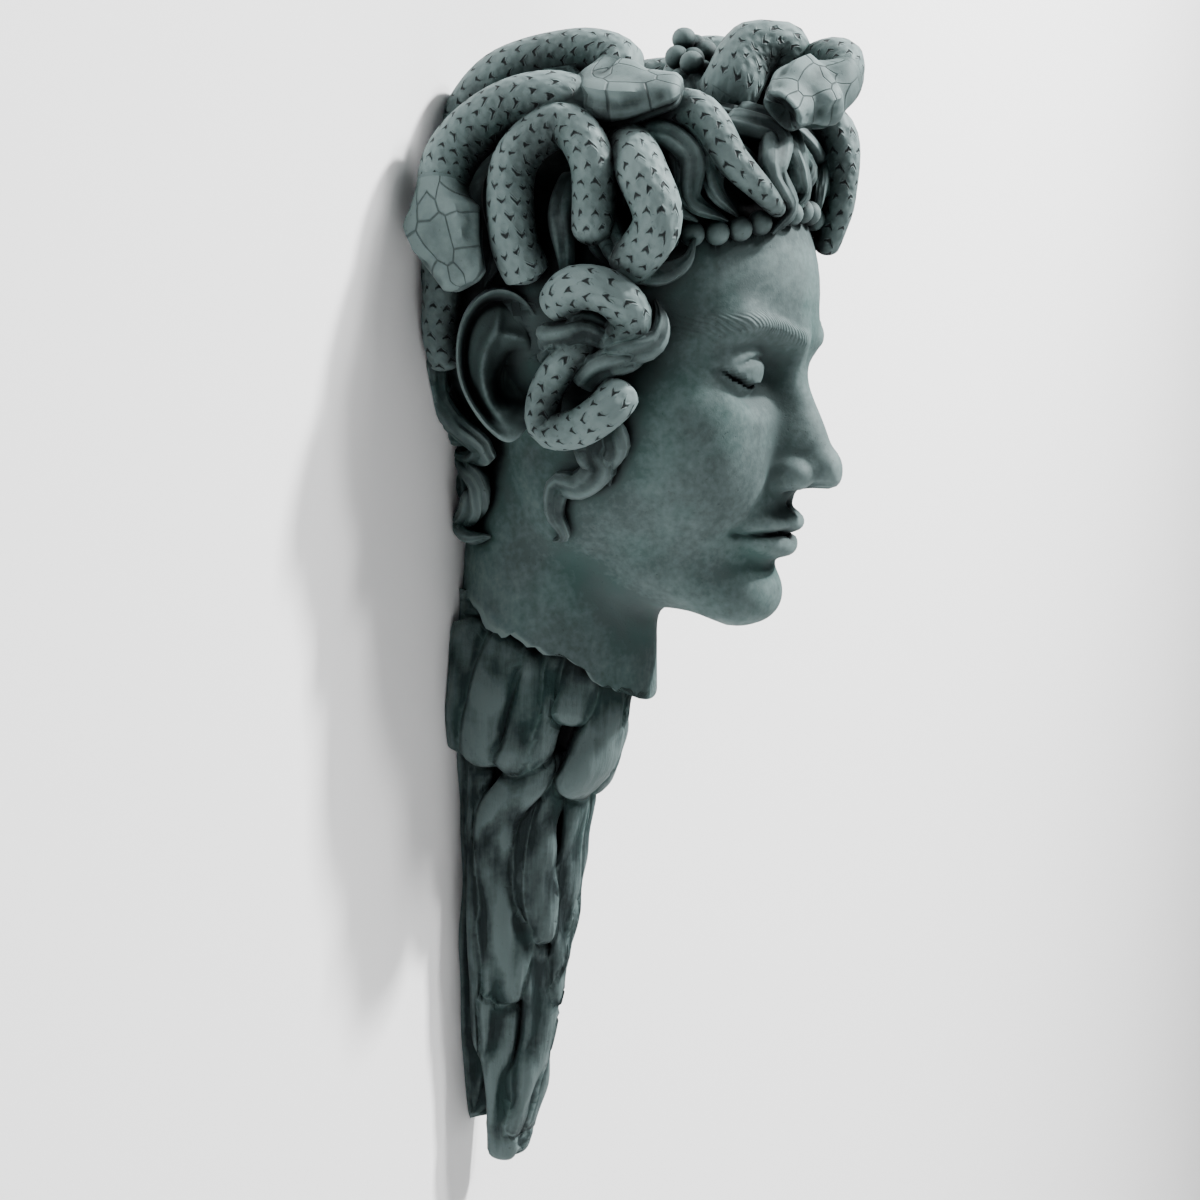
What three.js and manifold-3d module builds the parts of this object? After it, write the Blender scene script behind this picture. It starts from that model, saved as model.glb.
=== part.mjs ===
// Gorgon mask: a wall casting of a woman's face with snakes for hair, over a broken neck edge and
// a tapering fall of streams. It is one casting, so it is one solid with a flat back.
// Millimetres, +Z up. The back lies on y = 0, the face looks along -Y, and the origin is on the back
// at the height of the eyes. Near and far mean the wearer's right (-X) and left (+X) side.

import * as THREE from 'three';
import { mergeVertices } from 'three/addons/utils/BufferGeometryUtils.js';
import Module from 'manifold-3d';

const wasm = await Module();
wasm.setup();

// Driving dimensions
const faceThird = 74; // hairline to brow, brow to nose base and nose base to chin are each this high
const earToWall = 40; // from the flat back to the ear canal
const headTilt = 6; // the head looks down by this many degrees
const earHeight = 76; // top of the ear to the bottom of its lobe
const snakeRadius = 14; // body of the thickest snakes
const lockRadius = 6.5; // lock of hair near its root
const beadDiameter = 12.5; // beads of the string along the hairline
const neckLength = 42; // chin to the broken edge, at the front
const neckEdgeRise = 50; // the broken edge climbs this much towards the wall
const streamsLength = 268; // broken edge at the front down to the lowest tip
const streamRadius = 13; // thickness of a stream near its root

// How fine the solid is cut
const headColumns = 30;
const headRows = 35;
const snakeSides = 6;
const stepsPerStation = 1; // rings between two stations of a snake's course
const lockSides = 4;
const streamSides = 5;

// The head is modelled life-size about the ear canal, then enlarged. There x runs sideways, f forward
// and z up from the eye line, and a third of the face is lifeThird high.
const lifeThird = 62;
const headScale = faceThird / lifeThird;
const chinHeight = -108;
const skull = { x: 0, f: 10, z: 26 };
const tiltPivot = { f: 80, z: -100 }; // the chin stays where it is, and the forehead comes forward
const neckBottom = chinHeight - neckLength / headScale;

const forms = [
	{ name: 'cranium', at: [0, 4, 26], r: [73, 97, 83], blend: 1 },
	{ name: 'cheek block', at: [0, 42, -26], r: [57, 53, 62], blend: 16 },
	{ name: 'neck', from: [0, 2, -60], to: [0, 2, -190], radii: [42, 47], blend: 18, upright: true },
	{ name: 'jaw side', at: [38, 24, -38], r: [13, 26, 34], blend: 24 },
	{ name: 'jaw body', from: [36, 22, -64], to: [10, 84, -96], radii: [11, 10], blend: 22 },
	{ name: 'under chin', at: [0, 55, -90], r: [30, 38, 15], blend: 18 },
	{ name: 'muzzle', at: [0, 74, -60], r: [29, 28, 27], blend: 16 },
	{ name: 'chin', at: [0, 90, -96], r: [19, 13, 12], blend: 11 },
	{ name: 'cheekbone', at: [41, 60, -18], r: [17, 22, 13], yaw: 28, blend: 24 },
	{ name: 'soft cheek', at: [29, 68, -42], r: [23, 21, 26], blend: 24 },
	{ name: 'brow', from: [8, 94, 14], to: [38, 82, 17.5], radii: [6.6, 5.2], blend: 12 },
	{ name: 'brow tail', from: [38, 82, 17.5], to: [54, 60, 8], radii: [5.2, 4.5], blend: 14 },
	{ name: 'eye socket', at: [31, 98, -1], r: [18, 15, 12], roll: 5, blend: 11, carve: true },
	{ name: 'inner corner', at: [15.5, 99, -1], r: [6, 11, 8], blend: 7, carve: true },
	{ name: 'nose root', from: [0, 88, 8], to: [0, 112, -34], radii: [7.5, 7.6], blend: 8 },
	{ name: 'nose side', at: [0, 98, -33], r: [14, 13, 18], blend: 8 },
	{ name: 'nose tip', at: [0, 116.5, -38.5], r: [8.2, 8.8, 7.6], blend: 6 },
	{ name: 'nostril wing', at: [11.5, 105, -41.5], r: [6, 9.5, 6.8], yaw: 14, blend: 4 },
	{ name: 'upper lip middle', at: [0, 103, -62.8], r: [7, 6, 5], blend: 5 },
	{ name: 'upper lip', at: [10, 100, -63.2], r: [15, 6, 4.4], yaw: -27, roll: -8, blend: 4 },
	{ name: 'lower lip', at: [7, 99.5, -72.2], r: [14.5, 7, 5.6], yaw: -22, roll: 6, blend: 4.5 },
	{ name: 'temple', at: [78, 60, 18], r: [14, 24, 24], blend: 20, carve: true },
	{ name: 'eyeball', at: [31, 75.5, 0], r: [12.6, 12.6, 12.6], blend: 1 },
];
const eye = { x: 31, f: 75.5, z: 0, upperLid: 14.6, lowerLid: 14, opening: 1.8 };

// Courses of the snakes over the scalp. A station is [degrees round from the front towards the near
// side, degrees up from the skull's centre, height of the body's centre line over the scalp in snake
// radii]. Girth is the body's share of snakeRadius at its root and at its end.
const snakes = [
	{ name: 'hanging', girth: [1, 0.95], head: true, pair: true,
		course: [[61, 47, 0.8], [78, 47, 2.1], [95, 43, 2.3], [106, 32, 2.3], [105, 18, 2.3], [97, 3, 2.3]] },
	{ name: 'double loop', girth: [0.85, 0.75], pair: true,
		course: [[84, 4, 0.5], [88, 16, 1.3], [88, 32, 1.9], [76, 40, 2.1], [67, 31, 1.9], [66, 13, 1]] },
	{ name: 'crown rear', girth: [1, 0.9], head: true, pair: true,
		course: [[132, 47, 0.6], [112, 59, 1.7], [75, 64, 2], [57, 58, 2], [63, 49, 1.9], [45, 44, 2.6]] },
	{ name: 'crown arch', girth: [1.1, 1], tightness: 1.6,
		course: [[5, 54, 0.4], [6, 54, 1.5], [1, 56, 2.6], [-4, 55, 3.5], [-9, 51, 3.2], [-13, 46, 2.4],
			[-19, 42, 1.2]] },
	{ name: 'crown front', girth: [0.8, 0.95], head: true,
		course: [[-17, 46, 2.4], [-11, 47, 3.4], [-5, 44, 4.3], [0, 40, 4.2], [4, 40, 3.4], [11, 40, 2.7],
			[21, 37, 2.3]] },
	{ name: 'far crown', girth: [1, 0.6],
		course: [[-60, 62, 0.6], [-40, 66, 2.1], [-24, 60, 2.4], [-22, 50, 2.2], [-30, 42, 1.7], [-36, 34, 0.8]] },
	{ name: 'brow', girth: [1, 0.3], pair: true,
		course: [[50, 48, 0.8], [38, 41, 1.9], [33, 29, 1.9], [25, 23, 1.4], [17, 20, 0.7]] },
	{ name: 'temple oval', girth: [0.95, 0.8], pair: true,
		course: [[56, 41, 0.8], [55, 28, 1.9], [52, 16, 2], [58, 6, 1]] },
	{ name: 'temple coil', girth: [0.8, 0.75], pair: true,
		course: [[76, -3, 0.3], [70, 2, 1.4], [62, 1, 1.9], [56, -5, 1.4], [60, -14, 0.9]] },
	{ name: 'cheek curl', girth: [0.55, 0.75], pair: true,
		course: [[63, -13, 0.7], [72, -17, 1.2], [78, -26, 1.4], [78, -34, 1.6], [69, -32, 1.8], [61, -26, 1.6],
			[56, -22, 0.9]] },
	{ name: 'behind ear', girth: [0.8, 0.6], pair: true,
		course: [[116, 16, 0.6], [114, 1, 0.7], [117, -12, 0.7], [118, -23, 0.6]] },
	{ name: 'far brow', girth: [0.9, 0.5],
		course: [[-24, 45, 2.3], [-13, 35, 2.6], [-12, 24, 1.5], [-13, 18, 0.8], [-15, 13, 0.3]] },
];

// Locks of hair between and below the snakes, on the same kind of stations. The first station is the root.
const locks = [
	[[46, 50, 1.2], [39, 41, 1.8], [36, 33, 1.6], [36, 25, 1.2], [28, 20, 0.5]],
	[[56, 39, 1.1], [48, 38, 1.6], [42, 31, 1.7], [42, 23, 1.2], [31, 19, 0.5]],
	[[62, 28, 0.9], [62, 18, 0.9], [57, 9, 1.2], [50, 6, 1.2], [43, 9, 0.9], [40, 15, 0.6]],
	[[64, -19, 0.8], [58, -13, 1.5], [51, -11, 1.5], [48, -6, 1.1], [48, 0, 0.4]],
	[[60, -30, 0.8], [64, -38, 0.9], [61, -43, 0.7], [75, -51, 0.6], [73, -60, 0.4], [79, -64, 0.2]],
	[[124, -17, 0.6], [130, -30, 0.7], [128, -40, 0.8], [116, -50, 0.9], [136, -52, 1], [146, -47, 1]],
	[[144, -54, 0.6], [125, -58, 1.1], [136, -61, 1.1], [150, -59, 1.1]],
];

const hairline = [[56, 8], [46, 16], [30, 17], [15, 20], [0, 22], [-15, 20], [-30, 17], [-46, 16], [-56, 8]];

// The streams lie on a tapering form that stands on the wall. At these shares of the streams' length it
// reaches this far sideways and this far from the wall.
const fall = { shares: [0, 0.3, 0.65, 1], across: [38, 31, 20, 9], ahead: [76, 56, 44, 30] };

// Courses of the streams on both sides. A station is [degrees round from the front, share of the streams'
// length below the broken edge, height of the centre line over the fall in stream radii].
const streams = [
	{ girth: [0.65, 0.9], course: [[64, -0.11, 0], [70, -0.04, 0.3], [74, 0.06, 0.4], [76, 0.16, 0.4]] },
	{ girth: [0.6, 0.85], course: [[54, -0.08, 0], [56, 0.03, 0.3], [59, 0.11, 0.4], [63, 0.17, 0.4]] },
	{ girth: [0.6, 0.85], course: [[32, -0.08, 0], [35, 0, 0.3], [38, 0.07, 0.3]] },
	{ girth: [0.7, 1], course: [[7, -0.08, 0], [12, 0.08, 0.2], [20, 0.16, 0.3], [27, 0.22, 0.2]] },
	{ girth: [0.65, 0.85],
		course: [[46, 0.12, -0.3], [55, 0.19, 0.2], [67, 0.25, 0.2], [66, 0.36, 0.1], [56, 0.5, 0.1], [53, 0.65, 0]] },
	{ girth: [0.55, 0.6], course: [[76, 0.12, -0.4], [75, 0.33, -0.1], [73, 0.55, 0], [70, 0.76, 0]] },
	{ girth: [0.55, 0.6], course: [[30, 0.12, -0.4], [37, 0.28, 0], [34, 0.4, 0.1], [22, 0.52, 0]] },
	{ girth: [0.6, 0.6], course: [[8, 0.15, -0.3], [8, 0.31, 0], [2, 0.5, 0.1], [0, 0.68, 0]] },
	{ girth: [0.6, 0.8], course: [[30, 0.5, -0.3], [20, 0.66, 0], [20, 0.82, 0], [32, 0.94, 0]] },
	{ girth: [0.65, 0.9], course: [[56, 0.58, -0.3], [58, 0.72, 0], [50, 0.86, 0], [30, 1, -0.2]] },
];

// The head as one smooth field: negative inside, in life-size millimetres

function turned(p, form) {
	const yaw = THREE.MathUtils.degToRad(form.yaw ?? 0);
	const roll = THREE.MathUtils.degToRad(form.roll ?? 0);
	const dx = p[0] - form.at[0];
	const df = p[1] - form.at[1];
	const dz = p[2] - form.at[2];
	const x = Math.cos(yaw) * dx + Math.sin(yaw) * df;
	const f = -Math.sin(yaw) * dx + Math.cos(yaw) * df;
	return [Math.cos(roll) * x + Math.sin(roll) * dz, f, -Math.sin(roll) * x + Math.cos(roll) * dz];
}

function ellipsoid(p, form) {
	const q = turned(p, form);
	const near = Math.hypot(q[0] / form.r[0], q[1] / form.r[1], q[2] / form.r[2]);
	const slope = Math.hypot(q[0] / form.r[0] ** 2, q[1] / form.r[1] ** 2, q[2] / form.r[2] ** 2);
	return near * (near - 1) / Math.max(slope, 1e-6);
}

function capsule(p, form) {
	const along = form.to.map((c, i) => c - form.from[i]);
	const away = p.map((c, i) => c - form.from[i]);
	const dot = (a, b) => a[0] * b[0] + a[1] * b[1] + a[2] * b[2];
	const t = THREE.MathUtils.clamp(dot(away, along) / dot(along, along), 0, 1);
	const gap = Math.hypot(...away.map((c, i) => c - t * along[i]));
	return gap - THREE.MathUtils.lerp(form.radii[0], form.radii[1], t);
}

function join(a, b, blend) {
	const h = Math.max(blend - Math.abs(a - b), 0) / blend;
	return Math.min(a, b) - h * h * blend / 4;
}

// The same point on the head before it is tilted
function untilted(x, f, z) {
	const tilt = THREE.MathUtils.degToRad(headTilt);
	const df = f - tiltPivot.f;
	const dz = z - tiltPivot.z;
	return [
		Math.abs(x),
		tiltPivot.f + Math.cos(tilt) * df - Math.sin(tilt) * dz,
		tiltPivot.z + Math.sin(tilt) * df + Math.cos(tilt) * dz,
	];
}

function headField(x, f, z) {
	const p = untilted(x, f, z);
	let d = 1000;
	for (const form of forms) {
		const q = form.upright ? [p[0], f, z] : p;
		const g = form.at ? ellipsoid(q, form) : capsule(q, form);
		d = form.carve ? -join(-d, g, form.blend) : join(d, g, form.blend);
	}
	// lowered lids over the eyeball, down to and up to a curved lid line
	const fromMiddle = p[0] - eye.x;
	const lidLine = -4 + 0.1 * fromMiddle + 0.012 * fromMiddle ** 2;
	const ball = Math.hypot(fromMiddle, p[1] - eye.f, p[2] - eye.z);
	d = join(d, Math.max(ball - eye.upperLid, lidLine - p[2]), 1.6);
	return join(d, Math.max(ball - eye.lowerLid, p[2] - lidLine + eye.opening), 1.6);
}

// Distance from an origin inside the head to its surface along a ray
function reach(origin, direction) {
	let r = 30;
	for (let i = 0; i < 90; i += 1) {
		const relax = i < 60 ? 0.7 : 0.5;
		r -= relax * headField(...origin.map((c, k) => c + r * direction[k]));
		r = THREE.MathUtils.clamp(r, 1, 170);
	}
	return r;
}

// The line between the lips, the hollow under the lower lip and the one under the nose, in mm of depth
function faceTouches(...point) {
	const [across, f, z] = untilted(...point);
	const face = THREE.MathUtils.clamp((f - 55) / 20, 0, 1);
	const lipLine = -67.2 - 0.0012 * across ** 2;
	const lips = 3.4 * Math.exp(-(((z - lipLine) / 2) ** 2)) / (1 + Math.exp((across - 25) / 1.6));
	const chinHollow = 1.6 * Math.exp(-((across / 15) ** 2) - ((z + 83.5) / 4) ** 2);
	const noseHollow = 1.5 * Math.exp(-((across / 2.6) ** 2) - ((z + 54) / 6) ** 2);
	return face * (lips + chinHollow + noseHollow);
}

function placed(x, f, z) {
	return new THREE.Vector3(headScale * x, -earToWall - headScale * f, headScale * z);
}

// Broken lower edge of the neck: how high it is round the neck, 0 at the front
function neckEdge(round) {
	const climb = (0.5 - 0.5 * Math.cos(round)) ** 0.8 * neckEdgeRise / headScale;
	return neckBottom + climb + 2.2 * Math.sin(5 * round + 1) + 1.4 * Math.sin(11 * round);
}

function blendStops(t, stops, values) {
	let i = 1;
	while (i < stops.length - 1 && t > stops[i]) {
		i += 1;
	}
	const share = THREE.MathUtils.clamp((t - stops[i - 1]) / (stops[i] - stops[i - 1]), 0, 1);
	return THREE.MathUtils.lerp(values[i - 1], values[i], share);
}

// Closed solid from rings of equal length, with a fan to a middle point at each end
function closedSolid(rings, first, last) {
	const count = rings[0].length;
	const points = [...rings.flat(), first, last];
	const faces = [];
	for (let i = 0; i < rings.length - 1; i += 1) {
		for (let j = 0; j < count; j += 1) {
			const a = i * count + j;
			const b = i * count + (j + 1) % count;
			faces.push([a, b, a + count], [b, b + count, a + count]);
		}
	}
	const top = (rings.length - 1) * count;
	for (let j = 0; j < count; j += 1) {
		const k = (j + 1) % count;
		faces.push([points.length - 2, k, j], [points.length - 1, top + j, top + k]);
	}
	let volume = 0;
	for (const [a, b, c] of faces) {
		volume += points[a].dot(points[b].clone().cross(points[c]));
	}
	const geometry = new THREE.BufferGeometry();
	geometry.setAttribute('position', new THREE.Float32BufferAttribute(points.flatMap((p) => p.toArray()), 3));
	geometry.setIndex(faces.flatMap((face) => (volume > 0 ? face : [face[0], face[2], face[1]])));
	return geometry;
}

// Curve through points, with the slope at each taken from its two neighbours
function curveThrough(points) {
	return new THREE.CatmullRomCurve3(points, false, 'catmullrom', 0.5);
}

function solid(geometry) {
	const bare = geometry.clone();
	bare.deleteAttribute('normal');
	bare.deleteAttribute('uv');
	const merged = mergeVertices(bare, 1e-5);
	return new wasm.Manifold(new wasm.Mesh({
		numProp: 3,
		vertProperties: new Float32Array(merged.attributes.position.array),
		triVerts: new Uint32Array(merged.index.array),
	}));
}

// Face, skull and neck: rays fan out from a line inside the head, close together over the face
function headSolid() {
	const stops = [0, 0.06, 0.14, 0.47, 0.92, 1];
	const rings = [];
	for (let i = 0; i < headRows; i += 1) {
		const v = i / headRows;
		const ring = [];
		for (let j = 0; j < headColumns; j += 1) {
			const even = 2 * Math.PI * j / headColumns;
			const round = even - 0.72 * Math.sin(even) + 0.12 * Math.sin(2 * even);
			const front = 0.5 + 0.5 * Math.cos(round);
			const under = THREE.MathUtils.lerp(-80, chinHeight - 10, front);
			const z = blendStops(v, stops, [neckEdge(round), under, -58, -35, 45, 60]);
			const f = blendStops(v, stops, [0, 10, 25, 22, 16, 15]);
			const lean = blendStops(v, [0, 0.06, 0.14, 0.47, 0.85, 1], [0, -38, -40, 0, 0, 90]);
			const tilt = THREE.MathUtils.degToRad(lean < 0 ? lean * front : lean);
			const direction = [Math.sin(round) * Math.cos(tilt), Math.cos(round) * Math.cos(tilt), Math.sin(tilt)];
			const origin = [0, f, z];
			const r = reach(origin, direction);
			const p = origin.map((c, k) => c + r * direction[k]);
			ring.push(placed(p[0], p[1] - faceTouches(...p), p[2]));
		}
		rings.push(ring);
	}
	const crown = placed(0, 15, 60 + reach([0, 15, 60], [0, 0, 1]));
	return solid(closedSolid(rings, placed(0, 0, neckBottom + 30), crown));
}

// A station over the scalp as a point of the part
function overScalp([round, up, lift], side) {
	const a = THREE.MathUtils.degToRad(round);
	const e = THREE.MathUtils.degToRad(up);
	const direction = [-side * Math.sin(a) * Math.cos(e), Math.cos(a) * Math.cos(e), Math.sin(e)];
	const r = reach([skull.x, skull.f, skull.z], direction) + lift * snakeRadius / headScale;
	return placed(r * direction[0], skull.f + r * direction[1], skull.z + r * direction[2]);
}

// Shares of a curve's length where rings stand: even ones, then a close one that rounds its end off
const endShare = 0.06;
function withRoundEnd(steps) {
	const even = Array.from({ length: steps }, (_, i) => (1 - endShare) * i / (steps - 1));
	return [...even, 1];
}

function roundedOff(t) {
	return Math.sqrt(1 - 0.75 * Math.max((t - 1 + endShare) / endShare, 0) ** 2);
}

// Sweeps a section along a curve. The section's outward axis is kept facing away from the middle point.
function sweep(curve, shares, sides, middle, section) {
	const outward = new THREE.Vector3();
	const rings = shares.map((t, i) => {
		const at = curve.getPointAt(t);
		const along = curve.getTangentAt(t);
		outward.lerp(at.clone().sub(middle).normalize(), i === 0 ? 1 : 0.5);
		outward.addScaledVector(along, -outward.dot(along)).normalize();
		const across = along.clone().cross(outward);
		const size = section(t);
		const ring = [];
		for (let j = 0; j < sides; j += 1) {
			const turn = 2 * Math.PI * (j + 0.5) / sides;
			ring.push(at.clone()
				.addScaledVector(across, size.across * Math.cos(turn))
				.addScaledVector(outward, size.outward * Math.sin(turn)));
		}
		return ring;
	});
	return solid(closedSolid(rings, curve.getPoint(0), curve.getPoint(1)));
}

const skullMiddle = placed(skull.x, skull.f, skull.z);

// Snake's head from the nape to the snout: shares of its length, then of the body's radius
const headStops = [0, 0.2, 0.42, 0.75, 1];
const headAcross = [0.92, 1.15, 1.42, 1.12, 0.72];
const headOutward = [0.86, 0.92, 1, 0.76, 0.42];
const headLength = 3.7; // in snake radii

function courseCurve(course, side) {
	return curveThrough(course.map((station) => overScalp(station, side)));
}

// An even body that ends in a narrow nape and a broad flat head, or in a rounded tail
function snakeSolid(snake, side) {
	const curve = courseCurve(snake.course, side);
	const steps = Math.round(stepsPerStation * (snake.tightness ?? 1) * (snake.course.length - 1));
	const body = (t) => snakeRadius * THREE.MathUtils.lerp(snake.girth[0], snake.girth[1], t);
	if (!snake.head) {
		const section = (t) => ({ across: body(t) * roundedOff(t), outward: body(t) * roundedOff(t) });
		return sweep(curve, withRoundEnd(steps), snakeSides, skullMiddle, section);
	}
	const nape = 1 - headLength * snakeRadius / curve.getLength();
	const shares = Array.from({ length: steps }, (_, i) => nape * i / steps);
	shares.push(...headStops.map((h) => THREE.MathUtils.lerp(nape, 1, h)));
	const section = (t) => {
		const h = (t - nape) / (1 - nape);
		return {
			across: body(t) * (h < 0 ? 1 : blendStops(h, headStops, headAcross)),
			outward: body(t) * (h < 0 ? 1 : blendStops(h, headStops, headOutward)),
		};
	};
	return sweep(curve, shares, snakeSides, skullMiddle, section);
}

function lockSolid(course, side) {
	const section = (t) => ({
		across: lockRadius * (1.25 - 1.05 * t * t),
		outward: lockRadius * (0.8 - 0.6 * t * t),
	});
	const shares = Array.from({ length: course.length + 1 }, (_, i) => i / course.length);
	return sweep(courseCurve(course, side), shares, lockSides, skullMiddle, section);
}

// Beads on a string that follows the hairline, touching each other
function beadSolids() {
	const lift = 0.3 * beadDiameter / snakeRadius;
	const string = curveThrough(hairline.map(([a, e]) => overScalp([a, e, lift], 1)));
	const count = Math.round(string.getLength() / (0.98 * beadDiameter));
	const beads = [];
	for (let i = 0; i <= count; i += 1) {
		const bead = new THREE.OctahedronGeometry(beadDiameter / 2, 1);
		const at = string.getPointAt(i / count);
		bead.translate(at.x, at.y, at.z);
		beads.push(solid(bead));
	}
	return beads;
}

// Ear: a shell with a rolled rim, a groove, an inner fold and a hollow before the canal. Its outline is
// wider above than at the lobe. It leans back and stands off the head at the rear.
function earSolid(side) {
	const height = earHeight;
	const lean = THREE.MathUtils.degToRad(7);
	const standOff = THREE.MathUtils.degToRad(26);
	const up = new THREE.Vector3(0, Math.sin(lean), Math.cos(lean));
	const back = new THREE.Vector3(-side * Math.sin(standOff), Math.cos(standOff), 0);
	back.addScaledVector(up, -back.dot(up)).normalize();
	const out = back.clone().cross(up).multiplyScalar(side);
	const middle = placed(0, 0, 0).add(new THREE.Vector3(0, -0.08 * height, -0.04 * height));
	middle.x = -side * (headScale * 66 + 0.13 * height);
	const shares = [0.12, 0.4, 0.6, 0.78, 0.92, 1, 0.94, 0.45];
	const heights = [-0.13, -0.1, 0.05, -0.01, 0.09, 0.04, -0.04, -0.34];
	const sides = 12;
	const rings = shares.map((share, k) => {
		const ring = [];
		for (let j = 0; j < sides; j += 1) {
			const a = 2 * Math.PI * j / sides;
			const width = height * (0.27 + 0.05 * Math.sin(a));
			const rise = height * 0.5 * Math.sin(a);
			const lobe = a > Math.PI ? 1 - 0.25 * Math.sin(a) ** 2 * (k < 5 ? 1 : 0.4) : 1;
			ring.push(middle.clone()
				.addScaledVector(back, share * width * Math.cos(a) * lobe)
				.addScaledVector(up, share * rise)
				.addScaledVector(out, height * heights[k]));
		}
		return ring;
	});
	const first = middle.clone().addScaledVector(out, -0.16 * height);
	const last = middle.clone().addScaledVector(out, -0.4 * height);
	return solid(closedSolid(rings, first, last));
}

function overFall([round, down, lift], side) {
	const a = THREE.MathUtils.degToRad(round);
	const across = blendStops(down, fall.shares, fall.across) + lift * streamRadius;
	const ahead = blendStops(down, fall.shares, fall.ahead) + lift * streamRadius;
	const height = headScale * neckBottom - down * streamsLength;
	return new THREE.Vector3(-side * across * Math.sin(a), -ahead * Math.cos(a), height);
}

// One stream: from inside the neck or another stream down to a rounded tip, thickening on its way
function streamSolid(stream, side) {
	const curve = curveThrough(stream.course.map((station) => overFall(station, side)));
	const section = (t) => {
		const girth = streamRadius * THREE.MathUtils.lerp(...stream.girth, t) * roundedOff(t);
		return { across: 1.1 * girth, outward: 0.8 * girth };
	};
	const middle = new THREE.Vector3(0, 0, curve.getPoint(0.5).z);
	return sweep(curve, withRoundEnd(stream.course.length), streamSides, middle, section);
}

// Core that the streams lie on: the fall itself, a little inside them
function streamCore() {
	const top = headScale * neckBottom + neckEdgeRise;
	const bottom = headScale * neckBottom - 0.88 * streamsLength;
	const line = new THREE.LineCurve3(new THREE.Vector3(0, 0, top), new THREE.Vector3(0, 0, bottom));
	const inset = 0.3 * streamRadius;
	const section = (t) => {
		const down = THREE.MathUtils.lerp(-neckEdgeRise / streamsLength, 0.88, t);
		return {
			across: blendStops(down, fall.shares, fall.across) - inset,
			outward: blendStops(down, fall.shares, fall.ahead) - inset,
		};
	};
	return sweep(line, [0, 0.2, 0.45, 0.75, 1], 8, new THREE.Vector3(0, 100, top), section);
}

function wallSide() {
	const size = 10 * (faceThird + streamsLength);
	const box = new THREE.BoxGeometry(size, size, size);
	box.translate(0, size / 2, 0);
	return solid(box);
}

function casting() {
	const pieces = [headSolid(), earSolid(1), earSolid(-1), streamCore(), ...beadSolids()];
	for (const snake of snakes) {
		pieces.push(snakeSolid(snake, 1));
		if (snake.pair) {
			pieces.push(snakeSolid(snake, -1));
		}
	}
	for (const course of locks) {
		pieces.push(lockSolid(course, 1), lockSolid(course, -1));
	}
	for (const stream of streams) {
		pieces.push(streamSolid(stream, 1), streamSolid(stream, -1));
	}
	let whole = pieces[0];
	for (const piece of pieces.slice(1)) {
		whole = whole.add(piece);
	}
	whole = whole.subtract(wallSide());
	// coils that touch can close a pocket of air between them: the cast metal has none, so only the
	// outer skin is kept
	return whole.decompose().reduce((a, b) => (b.volume() > a.volume() ? b : a));
}

function castingMesh() {
	const mesh = casting().getMesh();
	const geometry = new THREE.BufferGeometry();
	geometry.setAttribute('position', new THREE.BufferAttribute(mesh.vertProperties, 3));
	geometry.setIndex(new THREE.BufferAttribute(mesh.triVerts, 1));
	const verdigris = new THREE.MeshStandardMaterial({ color: 0x5c857c, roughness: 0.75, metalness: 0.15 });
	const part = new THREE.Mesh(geometry, verdigris);
	part.name = 'gorgon_mask';
	return part;
}

const model = new THREE.Group();
model.add(castingMesh());
export default model;
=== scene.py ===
import bmesh
import bpy
import math
import numpy as np
from mathutils import Matrix, Vector
from mathutils.bvhtree import BVHTree


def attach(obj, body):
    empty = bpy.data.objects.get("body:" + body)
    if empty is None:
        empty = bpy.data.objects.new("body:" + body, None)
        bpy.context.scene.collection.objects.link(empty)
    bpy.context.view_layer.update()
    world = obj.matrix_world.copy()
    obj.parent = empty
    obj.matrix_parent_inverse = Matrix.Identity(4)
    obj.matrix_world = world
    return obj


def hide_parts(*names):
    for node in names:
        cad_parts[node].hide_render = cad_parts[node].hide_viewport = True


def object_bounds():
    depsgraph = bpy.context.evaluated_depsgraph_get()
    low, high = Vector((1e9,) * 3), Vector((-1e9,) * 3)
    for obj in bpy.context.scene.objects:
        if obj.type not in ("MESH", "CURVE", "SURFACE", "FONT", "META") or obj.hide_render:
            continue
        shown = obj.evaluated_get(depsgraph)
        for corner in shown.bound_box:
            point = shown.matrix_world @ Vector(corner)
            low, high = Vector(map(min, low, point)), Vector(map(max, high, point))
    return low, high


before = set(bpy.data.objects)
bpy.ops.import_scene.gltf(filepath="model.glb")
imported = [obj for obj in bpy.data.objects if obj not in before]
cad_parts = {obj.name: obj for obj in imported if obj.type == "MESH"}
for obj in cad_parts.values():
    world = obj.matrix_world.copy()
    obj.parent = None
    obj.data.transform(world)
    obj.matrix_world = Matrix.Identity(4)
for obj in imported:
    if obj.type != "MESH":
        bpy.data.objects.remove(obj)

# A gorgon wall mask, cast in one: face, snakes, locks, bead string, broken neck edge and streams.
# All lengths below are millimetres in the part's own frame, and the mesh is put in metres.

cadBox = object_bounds()

casting = {
    "faceThird": 74,        # hairline to brow, brow to nose base, nose base to chin
    "earToWall": 40,        # ear canal to the flat back
    "neckLength": 42,       # chin to the broken edge, at the front
    "neckEdgeRise": 50,     # climb of the broken edge towards the wall
    "headTilt": 6,          # degrees that the head looks down
    "columns": 188, "rows": 184,
}
headScale = casting["faceThird"] / 62      # the head is laid out life-size: x sideways, f forward, z up
chinHeight = -108
neckBottom = chinHeight - casting["neckLength"] / headScale
skull = (0, 10, 26)
tiltPivot = (80, -100)      # f and z of the chin, which stays where it is


def stacked(*parts):
    return np.stack(np.broadcast_arrays(*parts), -1)


def placed(x, f, z):
    # a point of the life-size head, in the part's millimetres
    return stacked(headScale * x, -casting["earToWall"] - headScale * f, headScale * z)


# The head as a smooth field of joined and carved forms, negative inside

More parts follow.
